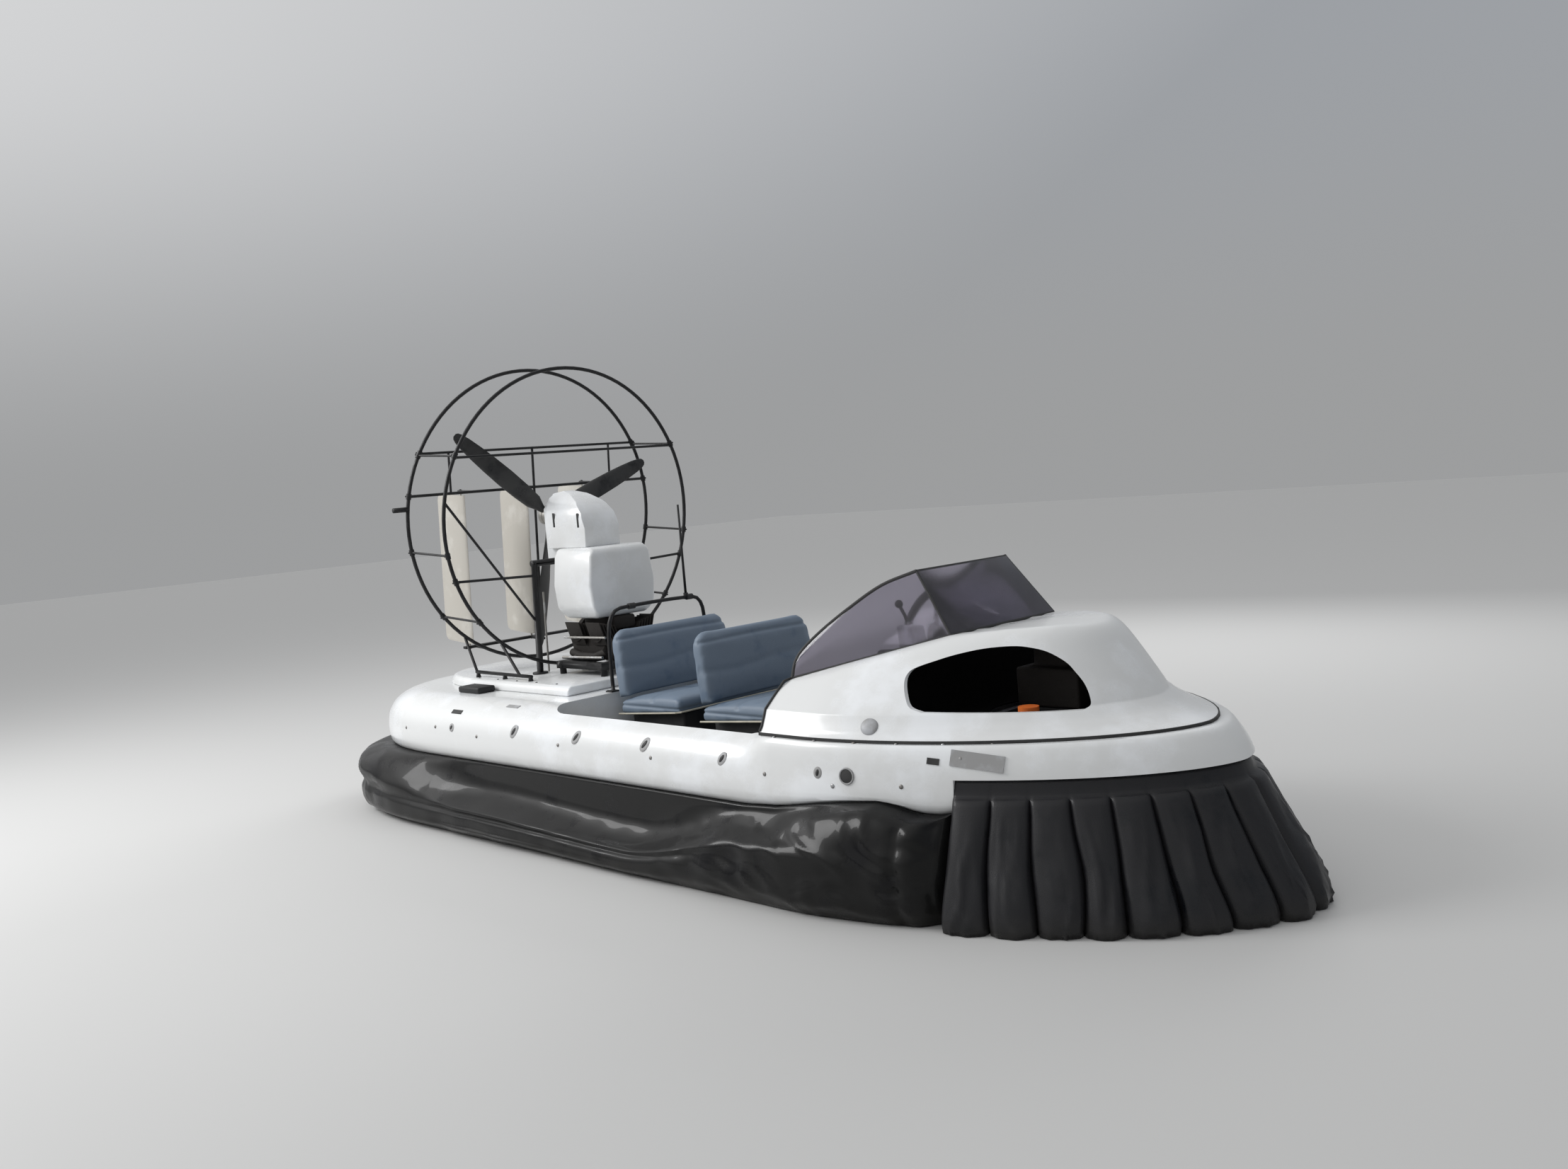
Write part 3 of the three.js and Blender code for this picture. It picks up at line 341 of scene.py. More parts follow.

# %% [markdown]
# ## Modelling helpers
# Nearly every moulding here is a loft: a first loop of points that is extruded
# from section to section. One helper does that for hulls, tubes, blades and
# fabric. A second one turns a finished bmesh into an object that rides on a body;
# its coat is the name of a finish.

# %% Loft
def loft(bm, rings, closed=True, caps=True):
    """Extrudes the first ring of points to each of the next ones."""
    ring = [bm.verts.new(point) for point in rings[0]]
    first = ring

    def edges_of(loop):
        pairs = list(zip(loop, loop[1:])) + ([(loop[-1], loop[0])] if closed else [])
        return [bm.edges.get(pair) or bm.edges.new(pair) for pair in pairs]

    for points in rings[1:]:
        grown = bmesh.ops.extrude_edge_only(bm, edges=edges_of(ring))["geom"]
        fresh = {g for g in grown if isinstance(g, bmesh.types.BMVert)}
        ring = [next(e.other_vert(v) for e in v.link_edges if e.other_vert(v) in fresh)
                for v in ring]
        for vert, point in zip(ring, points):
            vert.co = point
    if caps:
        bm.faces.new(first)
        bm.faces.new(ring)

# %% From a bmesh to a piece
def smooth(obj, sharp):
    obj.data.polygons.foreach_set("use_smooth", [True] * len(obj.data.polygons))
    obj.data.set_sharp_from_angle(angle=math.radians(sharp))


def settle(obj):
    """Puts what the modifiers make into the mesh itself."""
    graph = bpy.context.evaluated_depsgraph_get()
    made = bpy.data.meshes.new_from_object(obj.evaluated_get(graph))
    obj.modifiers.clear()
    obj.data = made


def add_piece(name, bm, coat, body="root", stands_for=(), sharp=35):
    bmesh.ops.remove_doubles(bm, verts=bm.verts, dist=1e-6)
    bmesh.ops.recalc_face_normals(bm, faces=bm.faces)
    mesh = bpy.data.meshes.new(name)
    bm.to_mesh(mesh)
    bm.free()
    obj = bpy.data.objects.new(name, mesh)
    scene.collection.objects.link(obj)
    mesh.materials.append(COATS[coat])
    smooth(obj, sharp)
    if stands_for:
        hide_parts(*stands_for)
    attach(obj, body)
    print(name, "faces", len(mesh.polygons))
    return obj

# %% [markdown]
# ## Plan line of the hull
# Seen from above the hull has straight sides, a rounded stern and a bow that
# comes to a soft point. The same line, drawn in or out, gives the gunwale, the
# cowl and the skirt, so they always follow each other.

# %% Plan line of the hull
BOW_START, BOW_REACH, BOW_POWER = 1.200, 1.600, 1.7
STERN_START, STERN_REACH, STERN_POWER = -1.700, 1.150, 3.0
HALF_BEAM = 0.960
# Where the deck steps up over the fingers, and the lift fan's axis
STEP_X, FAN_X = 1.940, 1.960
# Parts that touch stand this far apart in the CAD
SEAT_GAP = 0.0003


def bow_point(angle, reach, beam, power=BOW_POWER):
    """A point of the bow at an angle from its tip, which is positive to port."""
    return (BOW_START + reach * math.cos(angle) ** (2 / power),
            math.copysign(beam * abs(math.sin(angle)) ** (2 / power), angle))


def port_line(bow_reach, stern_reach, beam, power=BOW_POWER, start=0.0, steps=(44, 40, 28)):
    """The port half of an outline, from an angle at the bow to the stern's middle."""
    bow_steps, side_steps, stern_steps = steps
    line = []
    for i in range(bow_steps):
        angle = start + (math.pi / 2 - start) * i / bow_steps
        line.append(bow_point(angle, bow_reach, beam, power))
    for i in range(side_steps):
        line.append((BOW_START + (STERN_START - BOW_START) * i / side_steps, beam))
    for i in range(stern_steps + 1):
        angle = math.pi / 2 * (1 - i / stern_steps)
        line.append((STERN_START - stern_reach * math.cos(angle) ** (2 / STERN_POWER),
                     beam * max(0.0, math.sin(angle)) ** (2 / STERN_POWER)))
    return line


def plan_line(beam, bow, stern, power=BOW_POWER, steps=(44, 40, 28)):
    """Points of the outline from the bow tip round by port and back."""
    port = port_line(bow - BOW_START, stern + STERN_START, beam, power, steps=steps)
    return port + [(x, -y) for x, y in reversed(port[1:-1])]


def inset_line(inset, back=0.0):
    return plan_line(HALF_BEAM - inset, BOW_START + BOW_REACH - inset - back,
                     -STERN_START + STERN_REACH - inset)


print("points on the plan line", len(inset_line(0)))

# %% [markdown]
# ## Deck moulding
# The real deck is one gelcoat moulding whose side rolls over into the gunwale.
# It is lofted from many thin levels so that the roll is smooth, and the cockpit,
# the fan duct and the step at the bow are then cut out with booleans, which keep
# crisp edges where the real mould has them.

# %% Tables, outlines and cuts
def smoothstep(value, low, high):
    share = min(1.0, max(0.0, (value - low) / (high - low)))
    return share * share * (3 - 2 * share)


def look_up(value, rows):
    """Reads a table of (place, value) rows, in a straight line between them."""
    if value <= rows[0][0]:
        return rows[0][1]
    for (x0, y0), (x1, y1) in zip(rows, rows[1:]):
        if value <= x1:
            return y0 + (y1 - y0) * (value - x0) / (x1 - x0)
    return rows[-1][1]


def prism(outline, low, high, axis):
    """A closed bmesh: a flat outline pushed along Y or Z from low to high."""
    bm = bmesh.new()
    loft(bm, [[(a, level, b) if axis == "y" else (a, b, level) for a, b in outline]
              for level in (low, high)])
    return bm


def carve(obj, tools):
    """Cuts each tool, a closed bmesh, out of obj."""
    for bm in tools:
        bmesh.ops.recalc_face_normals(bm, faces=bm.faces)
        mesh = bpy.data.meshes.new("tool")
        bm.to_mesh(mesh)
        bm.free()
        tool = bpy.data.objects.new("tool", mesh)
        scene.collection.objects.link(tool)
        cut = obj.modifiers.new("cut", "BOOLEAN")
        cut.object, cut.operation, cut.solver = tool, "DIFFERENCE", "EXACT"
        settle(obj)
        bpy.data.objects.remove(tool)

# %% Levels of the deck
# height and inset of the side aft, then ahead of the cockpit, with the bow set back
GUNWALE = [
    (0.400, 0.026, 0.400, 0.026, 0.000), (0.408, 0.017, 0.408, 0.017, 0.000),
    (0.430, 0.006, 0.430, 0.006, 0.000), (0.465, 0.002, 0.465, 0.002, 0.000),
    (0.500, 0.000, 0.500, 0.0005, 0.000), (0.535, 0.003, 0.540, 0.002, 0.000),
    (0.570, 0.008, 0.580, 0.004, 0.000), (0.602, 0.019, 0.618, 0.007, 0.014),
    (0.630, 0.034, 0.650, 0.012, 0.030), (0.655, 0.052, 0.673, 0.017, 0.043),
    (0.675, 0.074, 0.692, 0.022, 0.054), (0.691, 0.098, 0.704, 0.028, 0.062),
    (0.704, 0.124, 0.712, 0.036, 0.070), (0.713, 0.152, 0.7125, 0.092, 0.070),
    (0.720, 0.180, 0.720, 0.180, 0.030), (0.7235, 0.210, 0.7235, 0.210, 0.010),
    (0.725, 0.240, 0.725, 0.240, 0.000),
]
# the gunwale's lower edge rises ahead of the cockpit: X and rise
EDGE_SWEEP = [(0.86, 0), (1.08, 0.014), (1.30, 0.050), (1.45, 0.068), (1.62, 0.080),
              (1.70, 0.064), (1.79, 0.038), (1.89, 0.034), (1.938, 0.050)]
DECK_LOW, SIDE_WIDEST, FORE_BLEND = 0.400, 0.500, (0.885, 0.955)


def deck_ring(row):
    z_aft, inset_aft, z_fore, inset_fore, back = row
    points = []
    for (xa, ya), (xf, yf) in zip(inset_line(inset_aft), inset_line(inset_fore, back)):
        share = smoothstep(xa, *FORE_BLEND)
        z = z_aft + (z_fore - z_aft) * share
        if z < SIDE_WIDEST:
            z += look_up(xa, EDGE_SWEEP) * (SIDE_WIDEST - z) / (SIDE_WIDEST - DECK_LOW)
        points.append((xa + (xf - xa) * share, ya + (yf - ya) * share, z))
    return points


def round_plug(radius, depth, middle):
    """An upright cylinder on the fan's axis, to cut a round hole with."""
    bm = bmesh.new()
    bmesh.ops.create_cone(bm, cap_ends=True, segments=64, radius1=radius, radius2=radius,
                          depth=depth, matrix=Matrix.Translation((FAN_X, 0, middle)))
    return bm


def round_rectangle(x0, x1, half, corner, steps=8):
    points = []
    for x, y, quarter in ((x1 - corner, half - corner, 0), (x0 + corner, half - corner, 1),
                          (x0 + corner, corner - half, 2), (x1 - corner, corner - half, 3)):
        for i in range(steps + 1):
            angle = math.pi / 2 * (quarter + i / steps)
            points.append((x + corner * math.cos(angle), y + corner * math.sin(angle)))
    return points

# %% Deck moulding
bm = bmesh.new()
lowest = [(x, y, DECK_LOW) for x, y in inset_line(0.10)]
loft(bm, [lowest] + [deck_ring(row) for row in GUNWALE])
deck_skin = add_piece("deck_skin", bm, "gelcoat", stands_for=["hull_deck"], sharp=40)

# %% Step at the bow, fan duct and cockpit
port = [p for p in inset_line(0.14)[:len(lowest) // 2] if p[0] > STEP_X]
step_y = port[-1][1]
around = [(STEP_X, -1.2), (3.2, -1.2), (3.2, 1.2), (STEP_X, 1.2), (STEP_X, step_y)]
around += port[::-1] + [(x, -y) for x, y in port[1:]] + [(STEP_X, -step_y)]
cockpit_line = round_rectangle(-0.770, 1.440, 0.845, 0.160)
carve(deck_skin, [prism(around, 0.35, 0.58, "z"), prism(cockpit_line, 0.3, 0.9, "z"),
                  round_plug(0.372, 2, 0.5)])
smooth(deck_skin, 32)
print("deck box", [round(v, 3) for v in deck_skin.dimensions])

# %% [markdown]
# ## Bow cowl
# The cowl is a thin moulding. Its sides lean in and its roof is nearly flat, and
# the two meet in a soft shoulder. A height is worked out for every point of the
# plan as the lower of side and roof, with a rounded corner between them; the skin
# is then given its thickness, and the windscreen opening and the two air intakes
# are cut through it.

# %% Smooth lines and round bars
def spline(points, steps):
    """A smooth line through the points."""
    points = [Vector(p) for p in points]
    ends = [points[0] * 2 - points[1]] + points + [points[-1] * 2 - points[-2]]
    line = []
    for a, b, c, d in zip(ends, ends[1:], ends[2:], ends[3:]):
        for i in range(steps):
            t = i / steps
            line.append(0.5 * (2 * b + (c - a) * t + (2 * a - 5 * b + 4 * c - d) * t * t
                               + (3 * b - a - 3 * c + d) * t ** 3))
    return line + [points[-1]]


def tube(bm, points, radius, sides=12):
    """A round bar that follows the points."""
    points = [Vector(p) for p in points]
    side, rings = None, []
    for i, point in enumerate(points):
        ahead = (points[min(i + 1, len(points) - 1)] - points[max(i - 1, 0)]).normalized()
        side = ahead.orthogonal() if side is None else side - ahead * side.dot(ahead)
        side.normalize()
        over = ahead.cross(side)
        rings.append([point + (side * math.cos(turn) + over * math.sin(turn)) * radius
                      for turn in (2 * math.pi * k / sides for k in range(sides))])
    loft(bm, rings)

# %% Levels of the cowl
# height, half width, bow end and roundness of the cowl's side
COWL = [
    (0.725, 0.900, 2.643, 1.7), (0.745, 0.884, 2.570, 1.7), (0.780, 0.868, 2.480, 1.7),
    (0.818, 0.852, 2.420, 1.7), (0.930, 0.716, 2.346, 1.8), (1.050, 0.575, 2.254, 2.0),
    (1.240, 0.352, 2.105, 2.3),
]
ROOF = [(0.40, 0.796), (0.95, 0.930), (1.67, 1.106), (1.90, 1.124), (2.08, 1.128),
        (2.19, 1.116), (3.00, 1.000)]
COWL_AFT, COWL_WALL, COWL_TOP, SHOULDER_ROUND = 0.950, 0.014, 1.240, 0.060
INTAKE = [
    (1.734, 0.828), (2.276, 0.806), (2.288, 0.820), (2.278, 0.850), (2.250, 0.899),
    (2.211, 0.947), (2.169, 0.991), (2.102, 1.034), (2.038, 1.055), (1.973, 1.064),
    (1.870, 1.059), (1.765, 1.039), (1.687, 1.016), (1.614, 0.990), (1.594, 0.966),
    (1.602, 0.932), (1.637, 0.884), (1.677, 0.846),
]
intake_edge = [tuple(p) for p in spline(INTAKE[1:] + INTAKE[:1], 4)]


def cowl_ring(z, shrink=0.0):
    """One level of the cowl, from its aft edge round the bow and back."""
    beam, bow, power = (look_up(z, [(row[0], row[k]) for row in COWL]) for k in (1, 2, 3))
    keep = 1 - shrink
    line = plan_line(beam * keep, bow - (bow - BOW_START) * shrink, 2.0, power, (60, 40, 4))
    port = [p for p in line[:len(line) // 2 + 1] if p[0] > COWL_AFT - 0.08]
    points = [(x, -y) for x, y in reversed(port[1:])] + port
    made = []
    for x, y in points:
        roof = look_up(x, ROOF)
        near = max(SHOULDER_ROUND - abs(z - roof), 0.0)
        made.append((x, y, min(z, roof) - near * near / (4 * SHOULDER_ROUND) + SEAT_GAP))
    return made

# %% Bow cowl
levels = [0.725, 0.735, 0.745, 0.757, 0.769, 0.780, 0.793, 0.806, 0.814, 0.818, 0.822, 0.830]
levels += [0.845 + 0.0125 * i for i in range(32)]
rings = [cowl_ring(z) for z in levels]
rings += [cowl_ring(COWL_TOP, shrink) for shrink in (0.25, 0.5, 0.75, 1.0)]
bm = bmesh.new()
loft(bm, rings, closed=False, caps=False)
bmesh.ops.remove_doubles(bm, verts=bm.verts, dist=1e-4)
cut_line = bm.verts[:] + bm.edges[:] + bm.faces[:]
bmesh.ops.bisect_plane(bm, geom=cut_line, plane_co=(COWL_AFT, 0, 0), plane_no=(-1, 0, 0),
                       clear_outer=True)
cowl_skin = add_piece("cowl_skin", bm, "gelcoat", stands_for=["bow_cowl"], sharp=40)
# the wall's inner faces take the bay's black, which is painted shade
cowl_skin.data.materials.append(COATS["bay_black"])
wall = cowl_skin.modifiers.new("wall", "SOLIDIFY")
wall.material_offset = 1
wall.thickness, wall.offset, wall.use_even_offset = COWL_WALL, -1, True
settle(cowl_skin)

# %% Windscreen opening and intakes
screen_hole = [(0.3, -0.65), (COWL_AFT, -0.65), (1.64, -0.368), (1.64, 0.368),
               (COWL_AFT, 0.65), (0.3, 0.65)]
carve(cowl_skin, [prism(screen_hole, 0.8, 1.6, "z"), prism(intake_edge, 0.2, 1.2, "y"),
                  prism(intake_edge, -1.2, -0.2, "y")])
smooth(cowl_skin, 30)
print("cowl box", [round(v, 3) for v in cowl_skin.dimensions])

# %% [markdown]
# ## Bay under the cowl
# Through the intakes one looks into a dark bay, whose shade is painted: a black
# sheet lines its floor, with a hole over the fan, and an orange filler cap on a
# short neck stands in it.

# %% Bay under the cowl
BAY_AFT, BAY_LOW, BAY_FLOOR = 1.515, 0.7285, 0.7325
bay_line = [(max(x, BAY_AFT), y)
            for x, y in plan_line(0.800, 2.42, 2.0, 1.9, (30, 20, 4)) if x > 1.40]
# a thin black sheet over the deck inside the bay, painted shade
bay_shade_liner = add_piece("bay_shade_liner", prism(bay_line, BAY_LOW, BAY_FLOOR, "z"), "bay_black")
carve(bay_shade_liner, [round_plug(0.335, 1, 0.7)])
FILLER = [
    # name, foot, top, radius, finish
    # the neck takes the bay's black, which is painted shade
    ("filler_neck", BAY_FLOOR, 0.785, 0.030, "bay_black"),
    ("filler_cap", 0.785, 0.818, 0.044, "orange_cap"),
]
for name, foot, top, radius, coat in FILLER:
    bm = bmesh.new()
    tube(bm, [(2.050, -0.400, foot), (2.050, -0.400, top)], radius, 24)
    add_piece(name, bm, coat)

# %% [markdown]
# ## Skirt bag
# At rest the air bag has gone slack. Its upper panel hangs from the gunwale, then
# the wet fabric folds out over a shelf and bunches on the ground; towards the bow
# the fold climbs until the side falls straight down. Five sections of that fabric
# are drawn, blended along the hull and lofted, and small creases are laid on top.

# %% Sections of the bag
# Sections at places along the hull: (height, distance outside the plan line)
BAG_TOP = [(0.3985, -0.022), (0.3985, -0.008), (0.3970, 0.006)]
BAG_SECTIONS = [
    (-2.35, [(0.392, 0.050), (0.372, 0.098), (0.335, 0.140), (0.290, 0.164), (0.245, 0.168),
             (0.205, 0.152), (0.178, 0.150), (0.138, 0.167), (0.085, 0.165), (0.040, 0.140),
             (0.004, 0.080)]),
    (-1.15, [(0.360, 0.008), (0.310, 0.010), (0.262, 0.024), (0.224, 0.062), (0.188, 0.118),
             (0.166, 0.150), (0.140, 0.140), (0.122, 0.160), (0.078, 0.162), (0.056, 0.172),
             (0.004, 0.100)]),
    (0.15, [(0.350, 0.008), (0.290, 0.010), (0.236, 0.016), (0.188, 0.044), (0.152, 0.095),
            (0.130, 0.146), (0.112, 0.146), (0.098, 0.160), (0.070, 0.164), (0.040, 0.160),
            (0.004, 0.110)]),
    (1.00, [(0.376, 0.012), (0.352, 0.030), (0.324, 0.062), (0.298, 0.104), (0.276, 0.138),
            (0.252, 0.152), (0.220, 0.152), (0.180, 0.156), (0.130, 0.160), (0.070, 0.150),
            (0.004, 0.110)]),
    (1.80, [(0.392, 0.045), (0.385, 0.080), (0.372, 0.108), (0.352, 0.130), (0.322, 0.146),
            (0.285, 0.154), (0.240, 0.160), (0.190, 0.163), (0.130, 0.160), (0.070, 0.150),
            (0.004, 0.110)]),
]
BAG_INSIDE = [(0.006, 0.010), (0.020, -0.050), (0.180, -0.078), (0.385, -0.100)]
BAG_END, BAG_SEAM = STEP_X - 0.004, 1.775
STERN_SPREAD = 0.220 / 0.170
# how far each kind of crease moves the fabric
WAVE, CRINKLE, BOW_FOLD, STERN_FOLD, PUCKER = 0.013, 0.006, 0.010, 0.009, 0.007
SEAM_WIDTH, SEAM_DIP, SEAM_WOBBLE, END_TUCK = 0.022, 0.016, 0.006, 0.065


def bag_line(out):
    """The plan line at a distance outside the hull, from the port step to the stern."""
    reach = BOW_REACH + out
    last = math.acos(((BAG_END - BOW_START) / reach) ** (BOW_POWER / 2))
    return port_line(reach, STERN_REACH + out * STERN_SPREAD, HALF_BEAM + out, start=last,
                     steps=(44, 120, 90))


def bag_section(x):
    """Height and outward distance of the fabric at a place along the hull."""
    spots = [row[0] for row in BAG_SECTIONS]
    k = max(i for i in range(len(spots) - 1) if i == 0 or x >= spots[i])
    share = smoothstep(x, spots[k], spots[k + 1])
    low, high = BAG_SECTIONS[k][1], BAG_SECTIONS[k + 1][1]
    blend = [(a[0] + (b[0] - a[0]) * share, a[1] + (b[1] - a[1]) * share)
             for a, b in zip(low, high)]
    return spline(BAG_TOP + blend, 4) + [Vector(p) for p in BAG_INSIDE]


def creased(x, y, height, out):
    """How far a crease moves the fabric outward."""
    free = smoothstep(out, 0.0, 0.07) * smoothstep(height, -0.02, 0.05)
    free *= 1 - smoothstep(height, 0.36, 0.39)
    spot = Vector((x, y, height))
    move = WAVE * noise.noise(Vector((x * 1.4, y * 1.4, height * 10)))
    move += CRINKLE * noise.noise(spot * 7)
    drape = Vector((x + height * 1.3, y, height - x * 0.25))
    ridged = 1 - abs(noise.noise(Vector((drape.x * 6, y * 3, drape.z * 7)))) * 3
    move += BOW_FOLD * max(0.0, ridged) * smoothstep(x, 0.1, 1.0)
    move += STERN_FOLD * max(0.0, ridged) * smoothstep(-x, 2.1, 2.6)
    seam = math.exp(-((x - BAG_SEAM) / SEAM_WIDTH) ** 2)
    move -= seam * (SEAM_DIP + SEAM_WOBBLE * math.sin(height * 90))
    pucker = math.exp(-abs(x - BAG_SEAM) / 0.10) * math.sin(height * 70 + x * 25)
    tuck = END_TUCK * smoothstep(x, BAG_END - 0.11, BAG_END) * smoothstep(out, 0.02, 0.12)
    return free * (move + PUCKER * pucker) - tuck

# %% Skirt bag
lines = {}
columns = []
nearest = bag_line(0)
for i in range(len(nearest)):
    column = []
    # a column takes its section at the place that the one before it reached
    x_here = nearest[0][0] if i == 0 else columns[-1][3].x
    for height, out in bag_section(x_here):
        key = round(out, 4)
        if key not in lines:
            lines[key] = bag_line(key)
        line = lines[key]
        x, y = line[i]
        ahead = Vector(line[min(i + 1, len(line) - 1)]) - Vector(line[max(i - 1, 0)])
        if i == len(line) - 1:
            ahead = Vector((0, -1))
        outward = Vector((-ahead.y, ahead.x)).normalized() * -1
        move = creased(x, y, height, out)
        lift = look_up(x, EDGE_SWEEP) * smoothstep(height, 0.30, 0.398)
        column.append(Vector((min(x + outward.x * move, BAG_END), y + outward.y * move,
                              max(0.003, height + lift))))
    columns.append(column)
columns += [[Vector((p.x, -p.y, p.z)) for p in column] for column in reversed(columns[:-1])]
bm = bmesh.new()
loft(bm, columns)
add_piece("bag_skin", bm, "wet_fabric", stands_for=["skirt_bag"], sharp=70)

# %% [markdown]
# ## Bow fingers
# The bow skirt is a row of loose fabric fingers. Each one is a broad, nearly flat
# lobe that flares out towards the ground, with a narrow crease where it is sewn to
# the next. The band above them is one plain strip.

# %% Levels of the fingers
FINGER_COUNT, FINGER_STEPS, FINGER_FLARE, FINGER_TOP, FINGER_CLOTH = 16, 16, 2.013, 0.58, 0.004
# how far slack, folds, drift along the bow, the hem and the seams wander
SLACK, FOLD, DRIFT, HEM_RISE, SEAM_WANDER = 0.012, 0.013, 0.006, 0.012, 0.040
# height, outward of the plan line, depth of the lobes
FINGER = [
    (0.5795, -0.014, 0.000), (0.560, -0.010, 0.001), (0.540, -0.006, 0.001),
    (0.522, -0.003, 0.002), (0.512, 0.000, 0.004), (0.506, 0.003, 0.016),
    (0.498, 0.006, 0.026), (0.480, 0.010, 0.032), (0.450, 0.016, 0.036), (0.410, 0.025, 0.040),
    (0.360, 0.038, 0.043), (0.310, 0.050, 0.046), (0.260, 0.062, 0.049), (0.210, 0.074, 0.052),
    (0.160, 0.088, 0.055), (0.110, 0.100, 0.058), (0.070, 0.108, 0.060), (0.035, 0.112, 0.060),
    (0.004, 0.110, 0.056),
]


def bow_line(out, count):
    """Evenly spaced points along the bow, from the port step to the starboard one."""
    beam, reach = HALF_BEAM + out, BOW_REACH + out * FINGER_FLARE
    last = math.acos(((STEP_X - BOW_START) / reach) ** (BOW_POWER / 2))
    fine = []
    for i in range(601):
        fine.append(Vector((*bow_point(last * (1 - i / 300), reach, beam), 0)))
    along = [0.0]
    for a, b in zip(fine, fine[1:]):
        along.append(along[-1] + (b - a).length)
    points, k = [], 0
    for i in range(count + 1):
        goal = along[-1] * i / count
        while k < len(along) - 2 and along[k + 1] < goal:
            k += 1
        share = (goal - along[k]) / (along[k + 1] - along[k])
        points.append(fine[k].lerp(fine[k + 1], share))
    return points


def wander(seam, height):
    """How far a seam between two fingers strays along the bow at a height."""
    if seam in (0, FINGER_COUNT):
        return 0.0
    free = smoothstep(0.50 - height, 0.0, 0.30)
    return SEAM_WANDER * free * noise.noise(Vector((seam * 5.3, height * 2.2, 4)))


def finger_ring(height, out, depth):
    points = bow_line(out, FINGER_COUNT * FINGER_STEPS)
    ring = []
    for i, point in enumerate(points):
        finger, step = divmod(i, FINGER_STEPS)
        phase = step / FINGER_STEPS
        ahead = points[min(i + 1, len(points) - 1)] - points[max(i - 1, 0)]
        ahead.normalize()
        outward = Vector((-ahead.y, ahead.x, 0))
        middle = math.sin(math.pi * phase)
        loose = smoothstep(0.51 - height, 0.0, 0.25) * middle
        slack = noise.noise(Vector((finger * 3.1, height * 4 + phase * 1.5, 2)))
        slant = noise.noise(Vector((finger * 7 + phase * 2.6 + height * 3, height * 5, 9)))
        fold = max(0.0, 1 - abs(slant) * 5)
        full = 0.9 + 0.25 * noise.noise(Vector((finger * 4.7, 1.5, 6)))
        swell = depth * full * middle ** 0.30 + loose * (SLACK * slack + FOLD * fold)
        shift = loose * DRIFT * noise.noise(Vector((finger * 5, height * 6, 4)))
        shift += wander(finger, height) * (1 - phase) + wander(finger + 1, height) * phase
        rise = max(0.0, HEM_RISE * noise.noise(Vector((finger * 2.3, 0.5, 0.5)))) * middle
        ring.append(point + outward * swell + ahead * shift
                    + Vector((0, 0, height + rise * (1 - height / FINGER_TOP))))
    return ring

# %% Bow fingers
bm = bmesh.new()
loft(bm, [finger_ring(*row) for row in FINGER], closed=False, caps=False)
finger_skin = add_piece("finger_skin", bm, "dull_fabric", stands_for=["skirt_fingers"], sharp=60)
cloth = finger_skin.modifiers.new("cloth", "SOLIDIFY")
cloth.thickness, cloth.offset = FINGER_CLOTH, -1

# %% [markdown]
# ## Seat pads
# Each bench has a cushion and a backrest of foam under blue-grey marine vinyl. A
# pad is lofted across the bench with rounded ends, remeshed and smoothed, and then
# a short cloth simulation with a little air pressure swells it like foam under a
# tight cover. Both benches are alike, so the front pads are copied for the rear.

# %% Outlines of the pads
PAD_HALF, PAD_VOXEL, BENCH_PITCH, FRONT_X = 0.415, 0.013, 0.680, 0.040
PUFF_FRAMES, PUFF_PRESSURE, PUFF_CAP, SEAM_DEPTH = 20, 4, 0.009, 0.008
CUSHION_LINE = [(-0.052, 0.612), (0.452, 0.648), (0.462, 0.668), (0.460, 0.704), (0.436, 0.724),
                (0.300, 0.724), (0.120, 0.712), (0.040, 0.700), (-0.052, 0.684)]
BACK_LINE = [(-0.054, 0.700), (0.026, 0.714), (0.020, 0.820), (0.006, 0.930), (-0.006, 1.020),
             (-0.024, 1.074), (-0.054, 1.090), (-0.082, 1.070), (-0.080, 0.980), (-0.072, 0.860)]
# heights of the seams, and how far ahead the cushion's fold lies
BACK_ROLL, BACK_FOLD, CUSHION_EDGE, CUSHION_SEAM, CUSHION_FOLD = 1.035, 0.885, 0.69, 0.665, 0.235


def pad_shape(line, half, corner, steps=24):
    """A block across the bench whose upper ends are rounded off."""
    lowest, highest = min(z for _, z in line), max(z for _, z in line)
    rings = []
    for k in range(steps + 1):
        y = half * math.sin(math.pi * (k / steps - 0.5))
        over = max(0.0, abs(y) - (half - corner))
        drop = corner - math.sqrt(max(0.0, corner ** 2 - over ** 2))
        rings.append([(x, y, z - drop * (z - lowest) / (highest - lowest)) for x, z in line])
    bm = bmesh.new()
    loft(bm, rings)
    return bm

# %% Swelling and seams
def puff(pad, cap):
    """Swells the pad like foam under a cover, and holds each point within cap."""
    rest = [v.co.copy() for v in pad.data.vertices]
    cloth = pad.modifiers.new("cloth", "CLOTH")
    cloth.settings.use_pressure = True
    cloth.settings.uniform_pressure_force = PUFF_PRESSURE
    cloth.settings.effector_weights.gravity = 0
    cloth.point_cache.frame_start, cloth.point_cache.frame_end = 1, PUFF_FRAMES
    for step in range(1, PUFF_FRAMES + 1):
        scene.frame_set(step)
    settle(pad)
    scene.frame_set(1)
    for vert, home in zip(pad.data.vertices, rest):
        move = vert.co - home
        if move.length > cap:
            vert.co = home + move.normalized() * cap


def stitched(pad, line_at, depth):
    """Draws seams into the cover: line_at gives how near a point is to a seam, 0 to 1."""
    moves = [vert.normal * depth * line_at(vert.co) for vert in pad.data.vertices]
    for vert, move in zip(pad.data.vertices, moves):
        vert.co -= move


def groove(distance, width=0.010):
    return math.exp(-(distance / width) ** 2)


